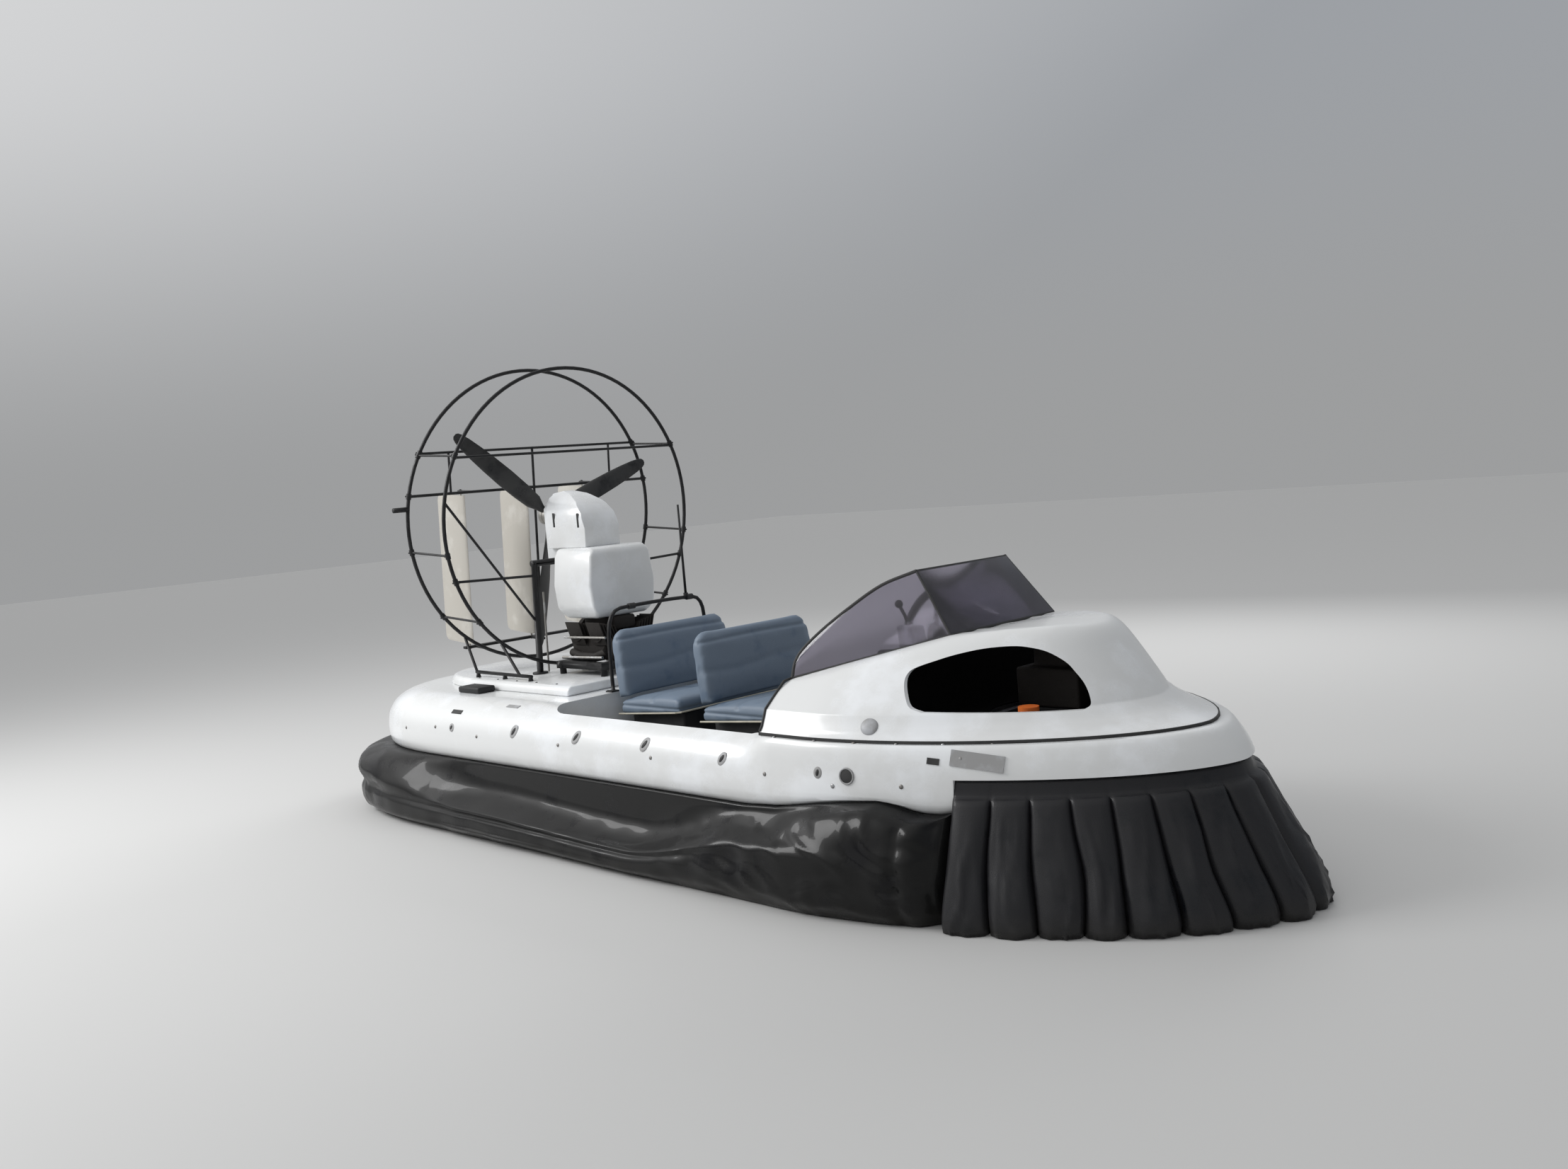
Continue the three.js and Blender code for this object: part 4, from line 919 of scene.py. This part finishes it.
def back_seams(at):
    roll = groove(at.z - BACK_ROLL + 0.04 * abs(at.y) ** 2)
    fold = 0.5 * groove(at.z - BACK_FOLD - 0.015 * math.sin(at.y * 7), 0.022)
    return max(roll, fold) if at.x > FRONT_X - 0.04 else 0.3 * roll


def cushion_seams(at):
    fold = 0.7 * groove(at.x - FRONT_X - CUSHION_FOLD - 0.012 * math.sin(at.y * 6), 0.016)
    return fold if at.z > CUSHION_EDGE else groove(at.z - CUSHION_SEAM, 0.007)

# %% Seat pads
for part, line, corner, seams in (("cushion", CUSHION_LINE, 0.030, cushion_seams),
                                  ("back", BACK_LINE, 0.085, back_seams)):
    outline = [(FRONT_X + x, z) for x, z in line]
    pad = add_piece(f"front_{part}_pad", pad_shape(outline, PAD_HALF, corner), "vinyl",
                    stands_for=[f"seat_front_{part}"])
    remesh = pad.modifiers.new("remesh", "REMESH")
    remesh.mode, remesh.voxel_size = "VOXEL", PAD_VOXEL
    soften = pad.modifiers.new("soften", "SMOOTH")
    soften.factor, soften.iterations = 0.5, 5
    settle(pad)
    puff(pad, PUFF_CAP)
    rounder = pad.modifiers.new("rounder", "SUBSURF")
    rounder.levels = rounder.render_levels = 1
    settle(pad)
    stitched(pad, seams, SEAM_DEPTH)
    smooth(pad, 180)
    bm = bmesh.new()
    bm.from_mesh(pad.data)
    bmesh.ops.translate(bm, vec=(-BENCH_PITCH, 0, 0), verts=bm.verts)
    twin = add_piece(f"rear_{part}_pad", bm, "vinyl", stands_for=[f"seat_rear_{part}"], sharp=180)

# %% [markdown]
# ## Moulded and machined pieces
# The CAD boxes have knife edges. Each one is copied, merged and bevelled, so that
# every real radius catches the light; round bars are only shaded smooth.

# %% Softened copy of a CAD part
CRISP_EDGE = math.radians(25)


def softened(node, width, coat):
    """A copy of a CAD node that stands for it, its edges rounded by width, or its round
    bars shaded smooth where width is 0."""
    bm = bmesh.new()
    bm.from_mesh(nodes[node].data)
    bmesh.ops.remove_doubles(bm, verts=bm.verts, dist=1e-5)
    if width:
        bmesh.ops.dissolve_limit(bm, angle_limit=math.radians(1), verts=bm.verts,
                                 edges=bm.edges)
        edges = [e for e in bm.edges
                 if e.is_manifold and e.calc_face_angle(0) > CRISP_EDGE]
        bmesh.ops.bevel(bm, geom=edges, offset=width, segments=3, profile=0.5,
                        affect="EDGES", material=-1, clamp_overlap=True)
    add_piece(node + "_skin", bm, coat, nodes[node]["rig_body"], [node], 35 if width else 50)

# %% Moulded and machined pieces
SOFTENED = [
    # edge radius, finish, nodes
    (0.030, "gelcoat", ["engine_cover"]), (0.020, "gelcoat", ["drive_cover"]),
    (0.012, "gelcoat", ["engine_deck"]), (0.010, "black_plastic", ["stern_pad"]),
    (0.012, "black_plastic", ["dashboard"]), (0.008, "pale_plastic", ["throttle_box"]),
    (0.014, "black_plastic", ["seat_front_base", "seat_rear_base"]),
    (0.008, "black_plastic", ["skid_port", "skid_starboard"]),
    (0.014, "engine_dark", ["lift_engine"]),
    (0, "black_tube", ["seat_hoop", "radio_mast", "engine_frame", "thrust_frame",
                       "cage_base_port", "cage_base_starboard", "steering_column"]),
    (0.004, "black_tube", ["lift_stay"]), (0, "black_plastic", ["side_lamp"]),
    (0.001, "tinted", ["windscreen_front", "windscreen_port", "windscreen_starboard"]),
]
for width, coat, names in SOFTENED:
    for name in names:
        softened(name, width, coat)

# %% [markdown]
# ## Propeller guard
# Two rings of bent tube carry the crossbars and the rudder rail. A ring is a circle
# spun all the way round; the bars are lofted along straight lines and end inside it.
# The whole thrust unit leans forward a little, so its pieces are made upright and
# then turned together.

# %% Blocks and bolts
def slab(bm, centre, size, turn=None, round_by=0.003):
    """A block with rounded edges."""
    made = bmesh.ops.create_cube(bm, size=1.0)["verts"]
    bmesh.ops.scale(bm, vec=size, verts=made)
    edges = list({e for v in made for e in v.link_edges})
    cut = bmesh.ops.bevel(bm, geom=edges, offset=round_by, segments=2, profile=0.5,
                          affect="EDGES", material=-1)
    made = list({v for f in cut["faces"] for v in f.verts} | {v for v in made if v.is_valid})
    if turn:
        bmesh.ops.rotate(bm, cent=(0, 0, 0), matrix=turn.to_matrix().to_3x3(), verts=made)
    bmesh.ops.translate(bm, vec=centre, verts=made)


def bolt_head(bm, centre, normal, radius, height):
    """A low domed screw head."""
    place = Vector(normal).to_track_quat("Z", "Y").to_matrix().to_4x4()
    place.translation = Vector(centre)
    made = bmesh.ops.create_uvsphere(bm, u_segments=10, v_segments=6, radius=radius,
                                     matrix=place)["verts"]
    axis = Vector(normal).normalized()
    for vert in made:
        away = (vert.co - Vector(centre)).dot(axis)
        vert.co += axis * away * (height / radius - 1)

# %% Propeller guard
THRUST = Matrix.Translation((-1.9, 0, 1.74)) @ Matrix.Rotation(math.radians(4.2), 4, "Y")
RING_RADIUS, RING_SPACING, RING_TUBE = 0.900, 0.392, 0.011
UPRIGHT_X, UPRIGHT_Y, UPRIGHT_RADIUS = 0.3604, 0.280, 0.020
RUDDER_PIVOT, RUDDER_TOP, RUDDER_FOOT, PIN = -0.120, 0.150, -0.770, 0.016
RUDDER_PLACES = [-0.460, 0.0, 0.460]


def ring_half(z):
    return math.sqrt(RING_RADIUS ** 2 - z ** 2)


def hoop(bm, x, radius, thick, segments=96):
    """A ring of round tube about the X axis."""
    upright = Matrix.Translation((x, 0, radius)) @ Matrix.Rotation(math.pi / 2, 4, "X")
    circle = bmesh.ops.create_circle(bm, segments=14, radius=thick, matrix=upright)["verts"]
    edges = list({e for v in circle for e in v.link_edges})
    bmesh.ops.spin(bm, geom=circle + edges, cent=(x, 0, 0), axis=(1, 0, 0),
                   angle=2 * math.pi, steps=segments, use_merge=True)


def collar(bm, centre, direction, radius=0.0155, length=0.034):
    """A clamp round a bar, with its bolt."""
    along = Vector(direction).normalized()
    centre = Vector(centre)
    tube(bm, [centre - along * length / 2, centre + along * length / 2], radius, 14)
    bolt = centre + along.orthogonal().normalized() * radius
    bolt_head(bm, bolt, along.orthogonal(), 0.006, 0.007)


def leaned(bm, name, coat, body, stands_for, sharp=40):
    bmesh.ops.transform(bm, matrix=THRUST, verts=bm.verts)
    add_piece(name, bm, coat, body, stands_for, sharp)

# %% Rear ring with the rudder rail
lug_z, rail_z = RUDDER_TOP + PIN, RUDDER_FOOT - PIN
# heights: the rear ring's crossbar, the middle of the rudder lugs and of the rail, the ties
# between the rings, and the outer end of the side braces
BAR_Z, LUG_MIDDLE, RAIL_MIDDLE = 0.420, lug_z + 0.008, rail_z - 0.008
TIE_LEVELS, BRACE_Z, BAR, THIN_BAR = (0.410, -0.155, -0.560), -0.310, 0.008, 0.007
bm = bmesh.new()
hoop(bm, 0, RING_RADIUS, RING_TUBE)
for z, radius in ((BAR_Z, BAR), (LUG_MIDDLE, 0.009)):
    tube(bm, [(0, -ring_half(z), z), (0, ring_half(z), z)], radius)
tube(bm, [(0, 0, RAIL_MIDDLE), (0, 0, BAR_Z)], BAR)
for y in (-0.600, 0.600):
    tube(bm, [(0, y, LUG_MIDDLE), (0, y, BAR_Z)], THIN_BAR)
slab(bm, (RUDDER_PIVOT, 0, RAIL_MIDDLE), (0.032, 1.0, 0.016))
slab(bm, (RUDDER_PIVOT / 2 + 0.005, 0, RAIL_MIDDLE), (0.130, 0.032, 0.016))
for y in RUDDER_PLACES:
    slab(bm, (RUDDER_PIVOT / 2 - 0.006, y, LUG_MIDDLE), (0.140, 0.024, 0.016))
    bolt_head(bm, (RUDDER_PIVOT, y, lug_z + 0.016), (0, 0, 1), 0.009, 0.006)
    bolt_head(bm, (RUDDER_PIVOT, y, rail_z - 0.016), (0, 0, -1), 0.009, 0.006)
for side in (-1, 1):
    y = side * ring_half(RAIL_MIDDLE)
    tube(bm, [(RUDDER_PIVOT, y, RAIL_MIDDLE), (0, y, RAIL_MIDDLE)], BAR)
    for z in (BAR_Z, LUG_MIDDLE, *TIE_LEVELS):
        here = Vector((0, side * ring_half(z), z))
        collar(bm, here, Vector((0, -here.z, here.y)))
leaned(bm, "guard_rear", "black_tube", "root", ["guard_ring_rear"])

# %% Front ring and braces
bm = bmesh.new()
hoop(bm, RING_SPACING, RING_RADIUS, RING_TUBE)
tube(bm, [(RING_SPACING, -ring_half(0.4), 0.4), (RING_SPACING, ring_half(0.4), 0.4)], BAR)
for side in (-1, 1):
    for z in TIE_LEVELS:
        y = side * ring_half(z)
        tube(bm, [(RING_TUBE + SEAT_GAP, y, z), (RING_SPACING, y, z)], THIN_BAR)
        collar(bm, (RING_SPACING, y, z), (0, -z, y))
    inner = side * (UPRIGHT_Y + UPRIGHT_RADIUS + SEAT_GAP)
    outer = side * ring_half(BRACE_Z)
    tube(bm, [(RING_SPACING, outer, BRACE_Z), (UPRIGHT_X, inner, -0.335)], BAR)
    collar(bm, (RING_SPACING, outer, BRACE_Z), (0, -BRACE_Z, outer))
tube(bm, [(RING_SPACING, -ring_half(0.150), 0.150),
          (UPRIGHT_X, -(UPRIGHT_Y + UPRIGHT_RADIUS), -0.600)], BAR)
leaned(bm, "guard_front", "black_tube", "root", ["guard_ring_front"])

# %% [markdown]
# ## Propeller
# Three narrow blades, each lofted from twisted sections that thin and turn flatter
# towards the tip, where the outline rounds off. Their roots are clamped in a split
# hub of bright metal, which is a profile spun round the shaft.

# %% Turned parts
LATHE_STEPS = 48


def lathe(bm, profile, place=Matrix()):
    """A round solid: (x, radius) points spun all the way round the X axis."""
    points = [bm.verts.new((x, 0, radius)) for x, radius in profile]
    line = [bm.edges.new(pair) for pair in zip(points, points[1:])]
    bmesh.ops.spin(bm, geom=points + line, cent=(0, 0, 0), axis=(1, 0, 0),
                   angle=2 * math.pi, steps=LATHE_STEPS, use_merge=True)
    made = list(bm.verts)[-len(points) * LATHE_STEPS:]
    bmesh.ops.transform(bm, matrix=place, verts=made)

# %% Propeller blades
PROP_X, PROP_PARK = 0.150, 51
# radius, chord, thickness, pitch in degrees
BLADE = [(0.058, 0.040, 0.036, 55), (0.095, 0.062, 0.034, 50), (0.150, 0.106, 0.030, 42),
         (0.260, 0.116, 0.024, 33), (0.400, 0.118, 0.018, 24), (0.540, 0.110, 0.015, 20),
         (0.650, 0.098, 0.012, 17), (0.740, 0.082, 0.010, 15), (0.795, 0.064, 0.009, 14),
         (0.818, 0.046, 0.007, 14), (0.828, 0.022, 0.005, 14)]


def blade_ring(radius, chord, thick, pitch, count=22):
    turned = math.radians(pitch)
    ring = []
    for k in range(count):
        angle = 2 * math.pi * k / count
        along = chord / 2 * math.cos(angle)
        across = thick / 2 * math.sin(angle) * (1 - 0.35 * math.cos(angle))
        ring.append((along * math.sin(turned) - across * math.cos(turned),
                     along * math.cos(turned) + across * math.sin(turned), radius))
    return ring


for i in range(3):
    around = Matrix.Translation((PROP_X, 0, 0)) @ Matrix.Rotation(
        math.radians(PROP_PARK + 120 * i), 4, "X")
    bm = bmesh.new()
    loft(bm, [blade_ring(*row) for row in BLADE])
    bmesh.ops.transform(bm, matrix=around, verts=bm.verts)
    leaned(bm, f"blade_{i + 1}", "blade_black", "propeller", [f"propeller_blade_{i + 1}"])

# %% Propeller hub
bm = bmesh.new()
lathe(bm, [(-0.045, 0.0), (-0.045, 0.050), (-0.041, 0.058), (-0.034, 0.062), (-0.004, 0.062),
           (-0.003, 0.059), (0.003, 0.059), (0.004, 0.062), (0.034, 0.062), (0.041, 0.058),
           (0.045, 0.050), (0.045, 0.022), (0.0705, 0.022), (0.0705, 0.0)],
      Matrix.Translation((PROP_X, 0, 0)))
for i in range(6):
    turn = 2 * math.pi * (i + 0.5) / 6
    for x in (-0.045, 0.045):
        spot = (PROP_X + x, 0.038 * math.cos(turn), 0.038 * math.sin(turn))
        bolt_head(bm, spot, (x, 0, 0), 0.007, 0.006)
leaned(bm, "hub_skin", "bright_metal", "propeller", ["propeller_hub"], sharp=30)

# %% [markdown]
# ## Rudders
# Thin fairings of white fabric over a frame: a round nose, a fine trailing edge and
# rounded corners. Each turns on its two pins.

# %% Rudders
RUDDER_NOSE, RUDDER_TAIL, RUDDER_THICK = 0.044, 0.266, 0.026


def rudder_ring(share, keep):
    """A level of the rudder: share is the height, keep how much of the tail is left."""
    z = RUDDER_FOOT + (RUDDER_TOP - RUDDER_FOOT) * share
    port = []
    for k in range(13):
        back = (1 - math.cos(math.pi * k / 12)) / 2
        chord = RUDDER_NOSE + RUDDER_TAIL * keep
        # the usual thickness curve of a symmetric fin
        shape = 2.969 * math.sqrt(back) - 1.26 * back - 3.516 * back ** 2
        shape += 2.843 * back ** 3 - 1.015 * back ** 4
        half = max(0.0016, RUDDER_THICK / 2 * min(1.0, shape * 0.98))
        port.append((RUDDER_PIVOT + RUDDER_NOSE - chord * back, half if k else 0, z))
    return port + [(x, -y, z) for x, y, z in reversed(port[1:])]


corner = [(0.0, 0.86), (0.006, 0.93), (0.018, 0.975), (0.040, 1.0)]
rows = corner + [(0.04 + 0.92 * i / 10, 1.0) for i in range(1, 10)]
rows += [(1 - share, keep) for share, keep in reversed(corner)]
for i, y in enumerate(RUDDER_PLACES):
    bm = bmesh.new()
    loft(bm, [rudder_ring(*row) for row in rows])
    for low, high in ((RUDDER_TOP - 0.02, RUDDER_TOP + PIN - SEAT_GAP),
                      (RUDDER_FOOT - PIN + SEAT_GAP, RUDDER_FOOT + 0.02)):
        tube(bm, [(RUDDER_PIVOT, 0, low), (RUDDER_PIVOT, 0, high)], 0.006)
    bmesh.ops.translate(bm, vec=(0, y, 0), verts=bm.verts)
    node = f"rudder_{i + 1}"
    leaned(bm, f"rudder_skin_{i + 1}", "rudder_skin", nodes[node]["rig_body"], [node])

# %% [markdown]
# ## Thrust engine
# Only dark shapes show below the cover: a crankcase with finned cylinders, a belt
# wheel behind it, an exhaust and a few bright bars.

# %% Thrust engine
CYLINDERS = (-1.34, -1.14)
bm = bmesh.new()
slab(bm, (-1.24, 0, 0.925), (0.40, 0.30, 0.13), round_by=0.02)
for x in CYLINDERS:
    for side in (-1, 1):
        tube(bm, [(x, side * 0.06, 0.985), (x, side * 0.175, 1.02)], 0.052, 20)
        for k in range(6):
            slab(bm, (x, side * (0.075 + 0.022 * k), 0.990 + 0.006 * k), (0.135, 0.007, 0.145),
                 Euler((side * -0.30, 0, 0)), 0.002)
slab(bm, (-1.24, 0, 1.07), (0.30, 0.16, 0.079), round_by=0.015)
ENGINE_TUBES = [
    # radius, sides, points: the exhaust, the belt wheel, its post and the flywheel
    (0.024, 16, [(-1.12, -0.13, 0.93), (-1.08, -0.185, 0.91), (-1.16, -0.19, 0.885),
                 (-1.30, -0.185, 0.885), (-1.42, -0.16, 0.90)]),
    (0.075, 32, [(-1.475, 0, 1.02), (-1.44, 0, 1.02)]),
    (0.02, 12, [(-1.47, 0, 1.02), (-1.47, 0, 1.10)]),
    (0.045, 24, [(-1.03, -0.10, 0.95), (-1.03, 0.10, 0.95)]),
]
for radius, sides, points in ENGINE_TUBES:
    tube(bm, points, radius, sides)
add_piece("engine_core", bm, "engine_dark", stands_for=["engine_block"], sharp=30)

# %% Bright bars on the engine
bm = bmesh.new()
tube(bm, [(-1.42, -0.212, 0.998), (-1.02, -0.212, 1.004)], 0.007)
tube(bm, [(-1.45, -0.216, 0.876), (-1.06, -0.216, 0.886)], 0.009)
tube(bm, [(-1.632, -0.200, 0.7795), (-1.612, -0.200, 1.270)], 0.006)
for x in CYLINDERS:
    tube(bm, [(x, -0.212, 1.000), (x, -0.150, 1.005)], 0.006)
    tube(bm, [(x, -0.216, 0.880), (x, -0.150, 0.900)], 0.007)
add_piece("engine_bars", bm, "bright_metal")

# %% [markdown]
# ## Windscreen and cowl trim
# A black rubber edge runs round the tinted panes and along the cowl's aft edge.

# %% Windscreen and cowl trim
BASE_FORE, BASE_AFT = Vector((1.664, 0.392, 1.1053)), Vector((0.956, 0.672, 0.9322))
TOP_FORE = Vector((1.452, 0.334, 1.380))
EDGE_BEAD, CORNER_BEAD, FRONT_BEAD = 0.0085, 0.006, 0.0065
PANE_EDGE = [(1.300, 1.324), (1.168, 1.232), (1.054, 1.136), (0.980, 1.056), (0.954, 1.000)]
across = (BASE_AFT - BASE_FORE).cross(TOP_FORE - BASE_FORE).normalized()
side_edge = [TOP_FORE]
for x, z in PANE_EDGE:
    y = BASE_FORE.y - (across.x * (x - BASE_FORE.x) + across.z * (z - BASE_FORE.z)) / across.y
    side_edge.append(Vector((x, y, z)))
side_edge.append(BASE_AFT)
smooth_edge = [Vector(p) for p in spline(side_edge, 5)]


def to_side(points, side):
    return [(x, side * y, z) for x, y, z in points]


bm = bmesh.new()
for side in (-1, 1):
    tube(bm, to_side(smooth_edge, side), EDGE_BEAD)
    tube(bm, to_side([TOP_FORE, BASE_FORE], side), CORNER_BEAD)
    tube(bm, to_side([BASE_FORE, BASE_AFT], side), CORNER_BEAD)
    aft_edge = [(COWL_AFT, beam, z + 0.004) for z, beam, _, _ in COWL[:4]]
    aft_edge += [(COWL_AFT, 0.722, 0.926), (COWL_AFT, 0.672, 0.9325)]
    tube(bm, to_side(aft_edge, side), CORNER_BEAD)
for corner in (TOP_FORE, BASE_FORE):
    tube(bm, [corner, (corner.x, -corner.y, corner.z)], FRONT_BEAD)
add_piece("screen_trim", bm, "rubber")

# %% [markdown]
# ## Helm
# A rubber wheel with three spokes, a dash with two blank dials, and the throttle's
# lever.

# %% Helm
WHEEL_AT, WHEEL_RADIUS, WHEEL_TILT = Vector((1.150, 0, 1.078)), 0.140, math.radians(25)
wheel_place = Matrix.Translation(WHEEL_AT) @ Matrix.Rotation(WHEEL_TILT, 4, "Y")
bm = bmesh.new()
hoop(bm, 0, WHEEL_RADIUS, 0.013, 64)
lathe(bm, [(-0.015, 0), (-0.015, 0.028), (-0.010, 0.034), (0.015, 0.034), (0.015, 0)])
for turn in (90, 210, 330):
    angle = math.radians(turn)
    rim = (0, WHEEL_RADIUS * math.cos(angle), WHEEL_RADIUS * math.sin(angle))
    tube(bm, [(0, 0, 0), rim], 0.009)
bmesh.ops.transform(bm, matrix=wheel_place, verts=bm.verts)
add_piece("wheel_skin", bm, "rubber", "steering_wheel", ["steering_wheel"], sharp=40)

# %% Dials and throttle lever
DIAL_TURN, LEVER_Y = math.radians(203), -0.29
bm = bmesh.new()
for y in (-0.16, 0.16):
    dial = Matrix.Translation((1.288, y, 1.022)) @ Matrix.Rotation(DIAL_TURN, 4, "Y")
    lathe(bm, [(0, 0), (0, 0.038), (0.006, 0.040), (0.010, 0.036), (0.008, 0.033), (0.008, 0)],
          dial)
add_piece("dials", bm, "dial_glass")
bm = bmesh.new()
tube(bm, [(1.33, LEVER_Y, 1.10), (1.31, LEVER_Y, 1.165), (1.285, LEVER_Y, 1.205)], 0.007)
bmesh.ops.create_uvsphere(bm, u_segments=16, v_segments=10, radius=0.017,
                          matrix=Matrix.Translation((1.283, LEVER_Y, 1.210)))
add_piece("throttle_lever", bm, "black_plastic")

# %% [markdown]
# ## Bench piping
# A pale welt closes each cushion's lower edge.

# %% Bench piping
# starboard half of the welt: ahead of the bench, out from the middle, height
WELT = [(-0.046, 0.418, 0.616), (0.440, 0.418, 0.650), (0.462, 0.400, 0.652)]
bm = bmesh.new()
for x in (FRONT_X, FRONT_X - BENCH_PITCH):
    half_welt = [(x + ahead, -out, z) for ahead, out, z in WELT]
    tube(bm, half_welt + to_side(half_welt[::-1], -1), 0.005, 10)
add_piece("cushion_welt", bm, "cream")

# %% [markdown]
# ## Fasteners on the joint
# Screws hold the cowl to the deck every twenty centimetres along the rubber strip.

# %% Fasteners on the joint
SCREW_SPACING, SCREW_Z = 0.200, 0.7135
bm = bmesh.new()
line = plan_line(0.915, 2.612, 2.6, steps=(160, 60, 10))
half = len(line) // 2
for side in (-1, 1):
    gone = SCREW_SPACING / 2
    for a, b in zip(line[:half], line[1:half]):
        gone += math.dist(a, b)
        if gone >= SCREW_SPACING and b[0] > COWL_AFT + 0.03:
            gone -= SCREW_SPACING
            bolt_head(bm, (b[0], side * b[1], SCREW_Z), (0, 0, 1), 0.008, 0.005)
add_piece("joint_screws", bm, "fastener")

# %% [markdown]
# ## Fittings on the gunwale
# Grommets, screws, blank plates and ports sit on the rolled side of the deck. A ray
# towards the hull finds the surface and its slope, so each lies flush; the hidden
# port side gets the same ones.

# %% Places of the fittings
SIDE_FITTINGS = [
    # form, X, Z, length along the hull, height, turn in degrees
    ("grommet", -1.567, 0.578, 0.030, 0.046, 30), ("grommet", -0.943, 0.598, 0.034, 0.082, 35),
    ("grommet", -0.384, 0.608, 0.034, 0.080, 35), ("grommet", 0.169, 0.614, 0.034, 0.080, 35),
    ("grommet", 0.732, 0.595, 0.030, 0.070, 35), ("grommet", 1.336, 0.588, 0.026, 0.052, 15),
    ("port", 1.483, 0.582, 0.066, 0.066, 0), ("plate", 1.859, 0.654, 0.052, 0.026, 0),
    ("plate", -1.566, 0.660, 0.100, 0.026, 0), ("tag", -1.095, 0.706, 0.110, 0.026, 0),
    ("tag", 2.027, 0.655, 0.220, 0.066, 0), ("cap", 1.535, 0.775, 0.082, 0.076, 0),
]
FORMS = {
    # kind of fitting: its buttons, each with colour, share of length and height, rise, flat
    # a grommet's dark middle button is painted shade inside the fitting
    "grommet": [("pale", 1.7, 1.0, 0.004, False), ("dark", 0.75, 0.66, 0.008, False)],
    "port": [("dark", 1.0, 1.0, 0.005, False)],
    "cap": [("pale", 1.0, 1.0, 0.012, False)],
    "plate": [("dark", 1.0, 1.0, 0.003, True)],
    "tag": [("pale", 1.0, 1.0, 0.003, True)],
}
SIDE_SCREWS = [
    # X, Z
    (-2.094, 0.540), (-1.742, 0.570), (-1.303, 0.546), (-0.530, 0.559), (0.227, 0.557),
    (1.019, 0.554), (1.411, 0.536), (1.729, 0.549), (1.965, 0.665),
]
graph = bpy.context.evaluated_depsgraph_get()
surfaces = [BVHTree.FromObject(skin, graph) for skin in (cowl_skin, deck_skin)]


def on_side(x, z, side):
    """The place on the hull's side at X and Z, and a frame whose Z axis points out."""
    hits = [tree.ray_cast((x, side * 1.3, z), (0, -side, 0)) for tree in surfaces]
    spot, normal = min((h[:2] for h in hits if h[0]), key=lambda h: -abs(h[0].y))
    along = Vector((1, 0, 0)) - normal * normal.x
    along.normalize()
    axes = Matrix((along, normal.cross(along), normal)).transposed()
    return Matrix.Translation(spot) @ axes.to_4x4()


def button(bm, place, length, height, rise, flat=False):
    """A low oval dome, or a thin plate where it is flat, that stands out by rise."""
    if flat:
        made = bmesh.ops.create_cube(bm, size=2.0)["verts"]
    else:
        made = bmesh.ops.create_uvsphere(bm, u_segments=24, v_segments=12, radius=1.0)["verts"]
    scale = Matrix.Diagonal((length / 2, height / 2, rise, 1))
    bmesh.ops.transform(bm, matrix=place @ scale, verts=made)

# %% Fittings on the gunwale
PORT_RADIUS, PORT_LIFT, PORT_RIM = 0.033, 0.002, 0.004
dark, pale, screws = bmesh.new(), bmesh.new(), bmesh.new()
for side in (-1, 1):
    for form, x, z, length, height, turn in SIDE_FITTINGS:
        place = on_side(x, z, side) @ Matrix.Rotation(math.radians(turn) * side, 4, "Z")
        for colour, long, high, rise, flat in FORMS[form]:
            target = dark if colour == "dark" else pale
            button(target, place, length * long, height * high, rise, flat)
        if form == "port":
            turns = [2 * math.pi * k / 32 for k in range(33)]
            rim = [(PORT_RADIUS * math.cos(t), PORT_RADIUS * math.sin(t), PORT_LIFT) for t in turns]
            tube(pale, [place @ Vector(point) for point in rim], PORT_RIM, 8)
    for x, z in SIDE_SCREWS:
        button(screws, on_side(x, z, side), 0.020, 0.020, 0.005)
add_piece("side_grommets", dark, "rubber")
add_piece("side_plates", pale, "pale_plastic")
add_piece("side_screws", screws, "fastener")

# %% [markdown]
# ## Small parts aft
# Two slots in the hood, drawn as thin dark plates on its sides that are painted
# shade of the openings, clamps on the seat hoop and bolts on the engine deck.

# %% Small parts aft
HOOD_SIDE = 0.1295
BOLT_ROWS = [
    # height, distance from the middle, places along the hull, radius, rise
    (0.733, 0.384, (-0.815, -0.785), 0.005, 0.005),
    (0.780, 0.525, (-1.900, -1.700, -1.500, -1.300, -1.100), 0.007, 0.004),
]
bm = bmesh.new()
# the hood's slots: thin dark plates on its sides, painted shade of the openings
for x, z in ((-1.531, 1.700), (-1.290, 1.690)):
    for side in (-1, 1):
        slab(bm, (x, side * HOOD_SIDE, z), (0.018, 0.004, 0.085), round_by=0.001)
for y in (-0.190, 0.245):
    tube(bm, [(-0.780, y - 0.022, 1.190), (-0.780, y + 0.022, 1.190)], 0.017, 16)
for z, out, places, radius, rise in BOLT_ROWS:
    for x in places:
        for y in (-out, out):
            bolt_head(bm, (x, y, z), (0, 0, 1), radius, rise)
add_piece("small_parts_aft", bm, "rubber")
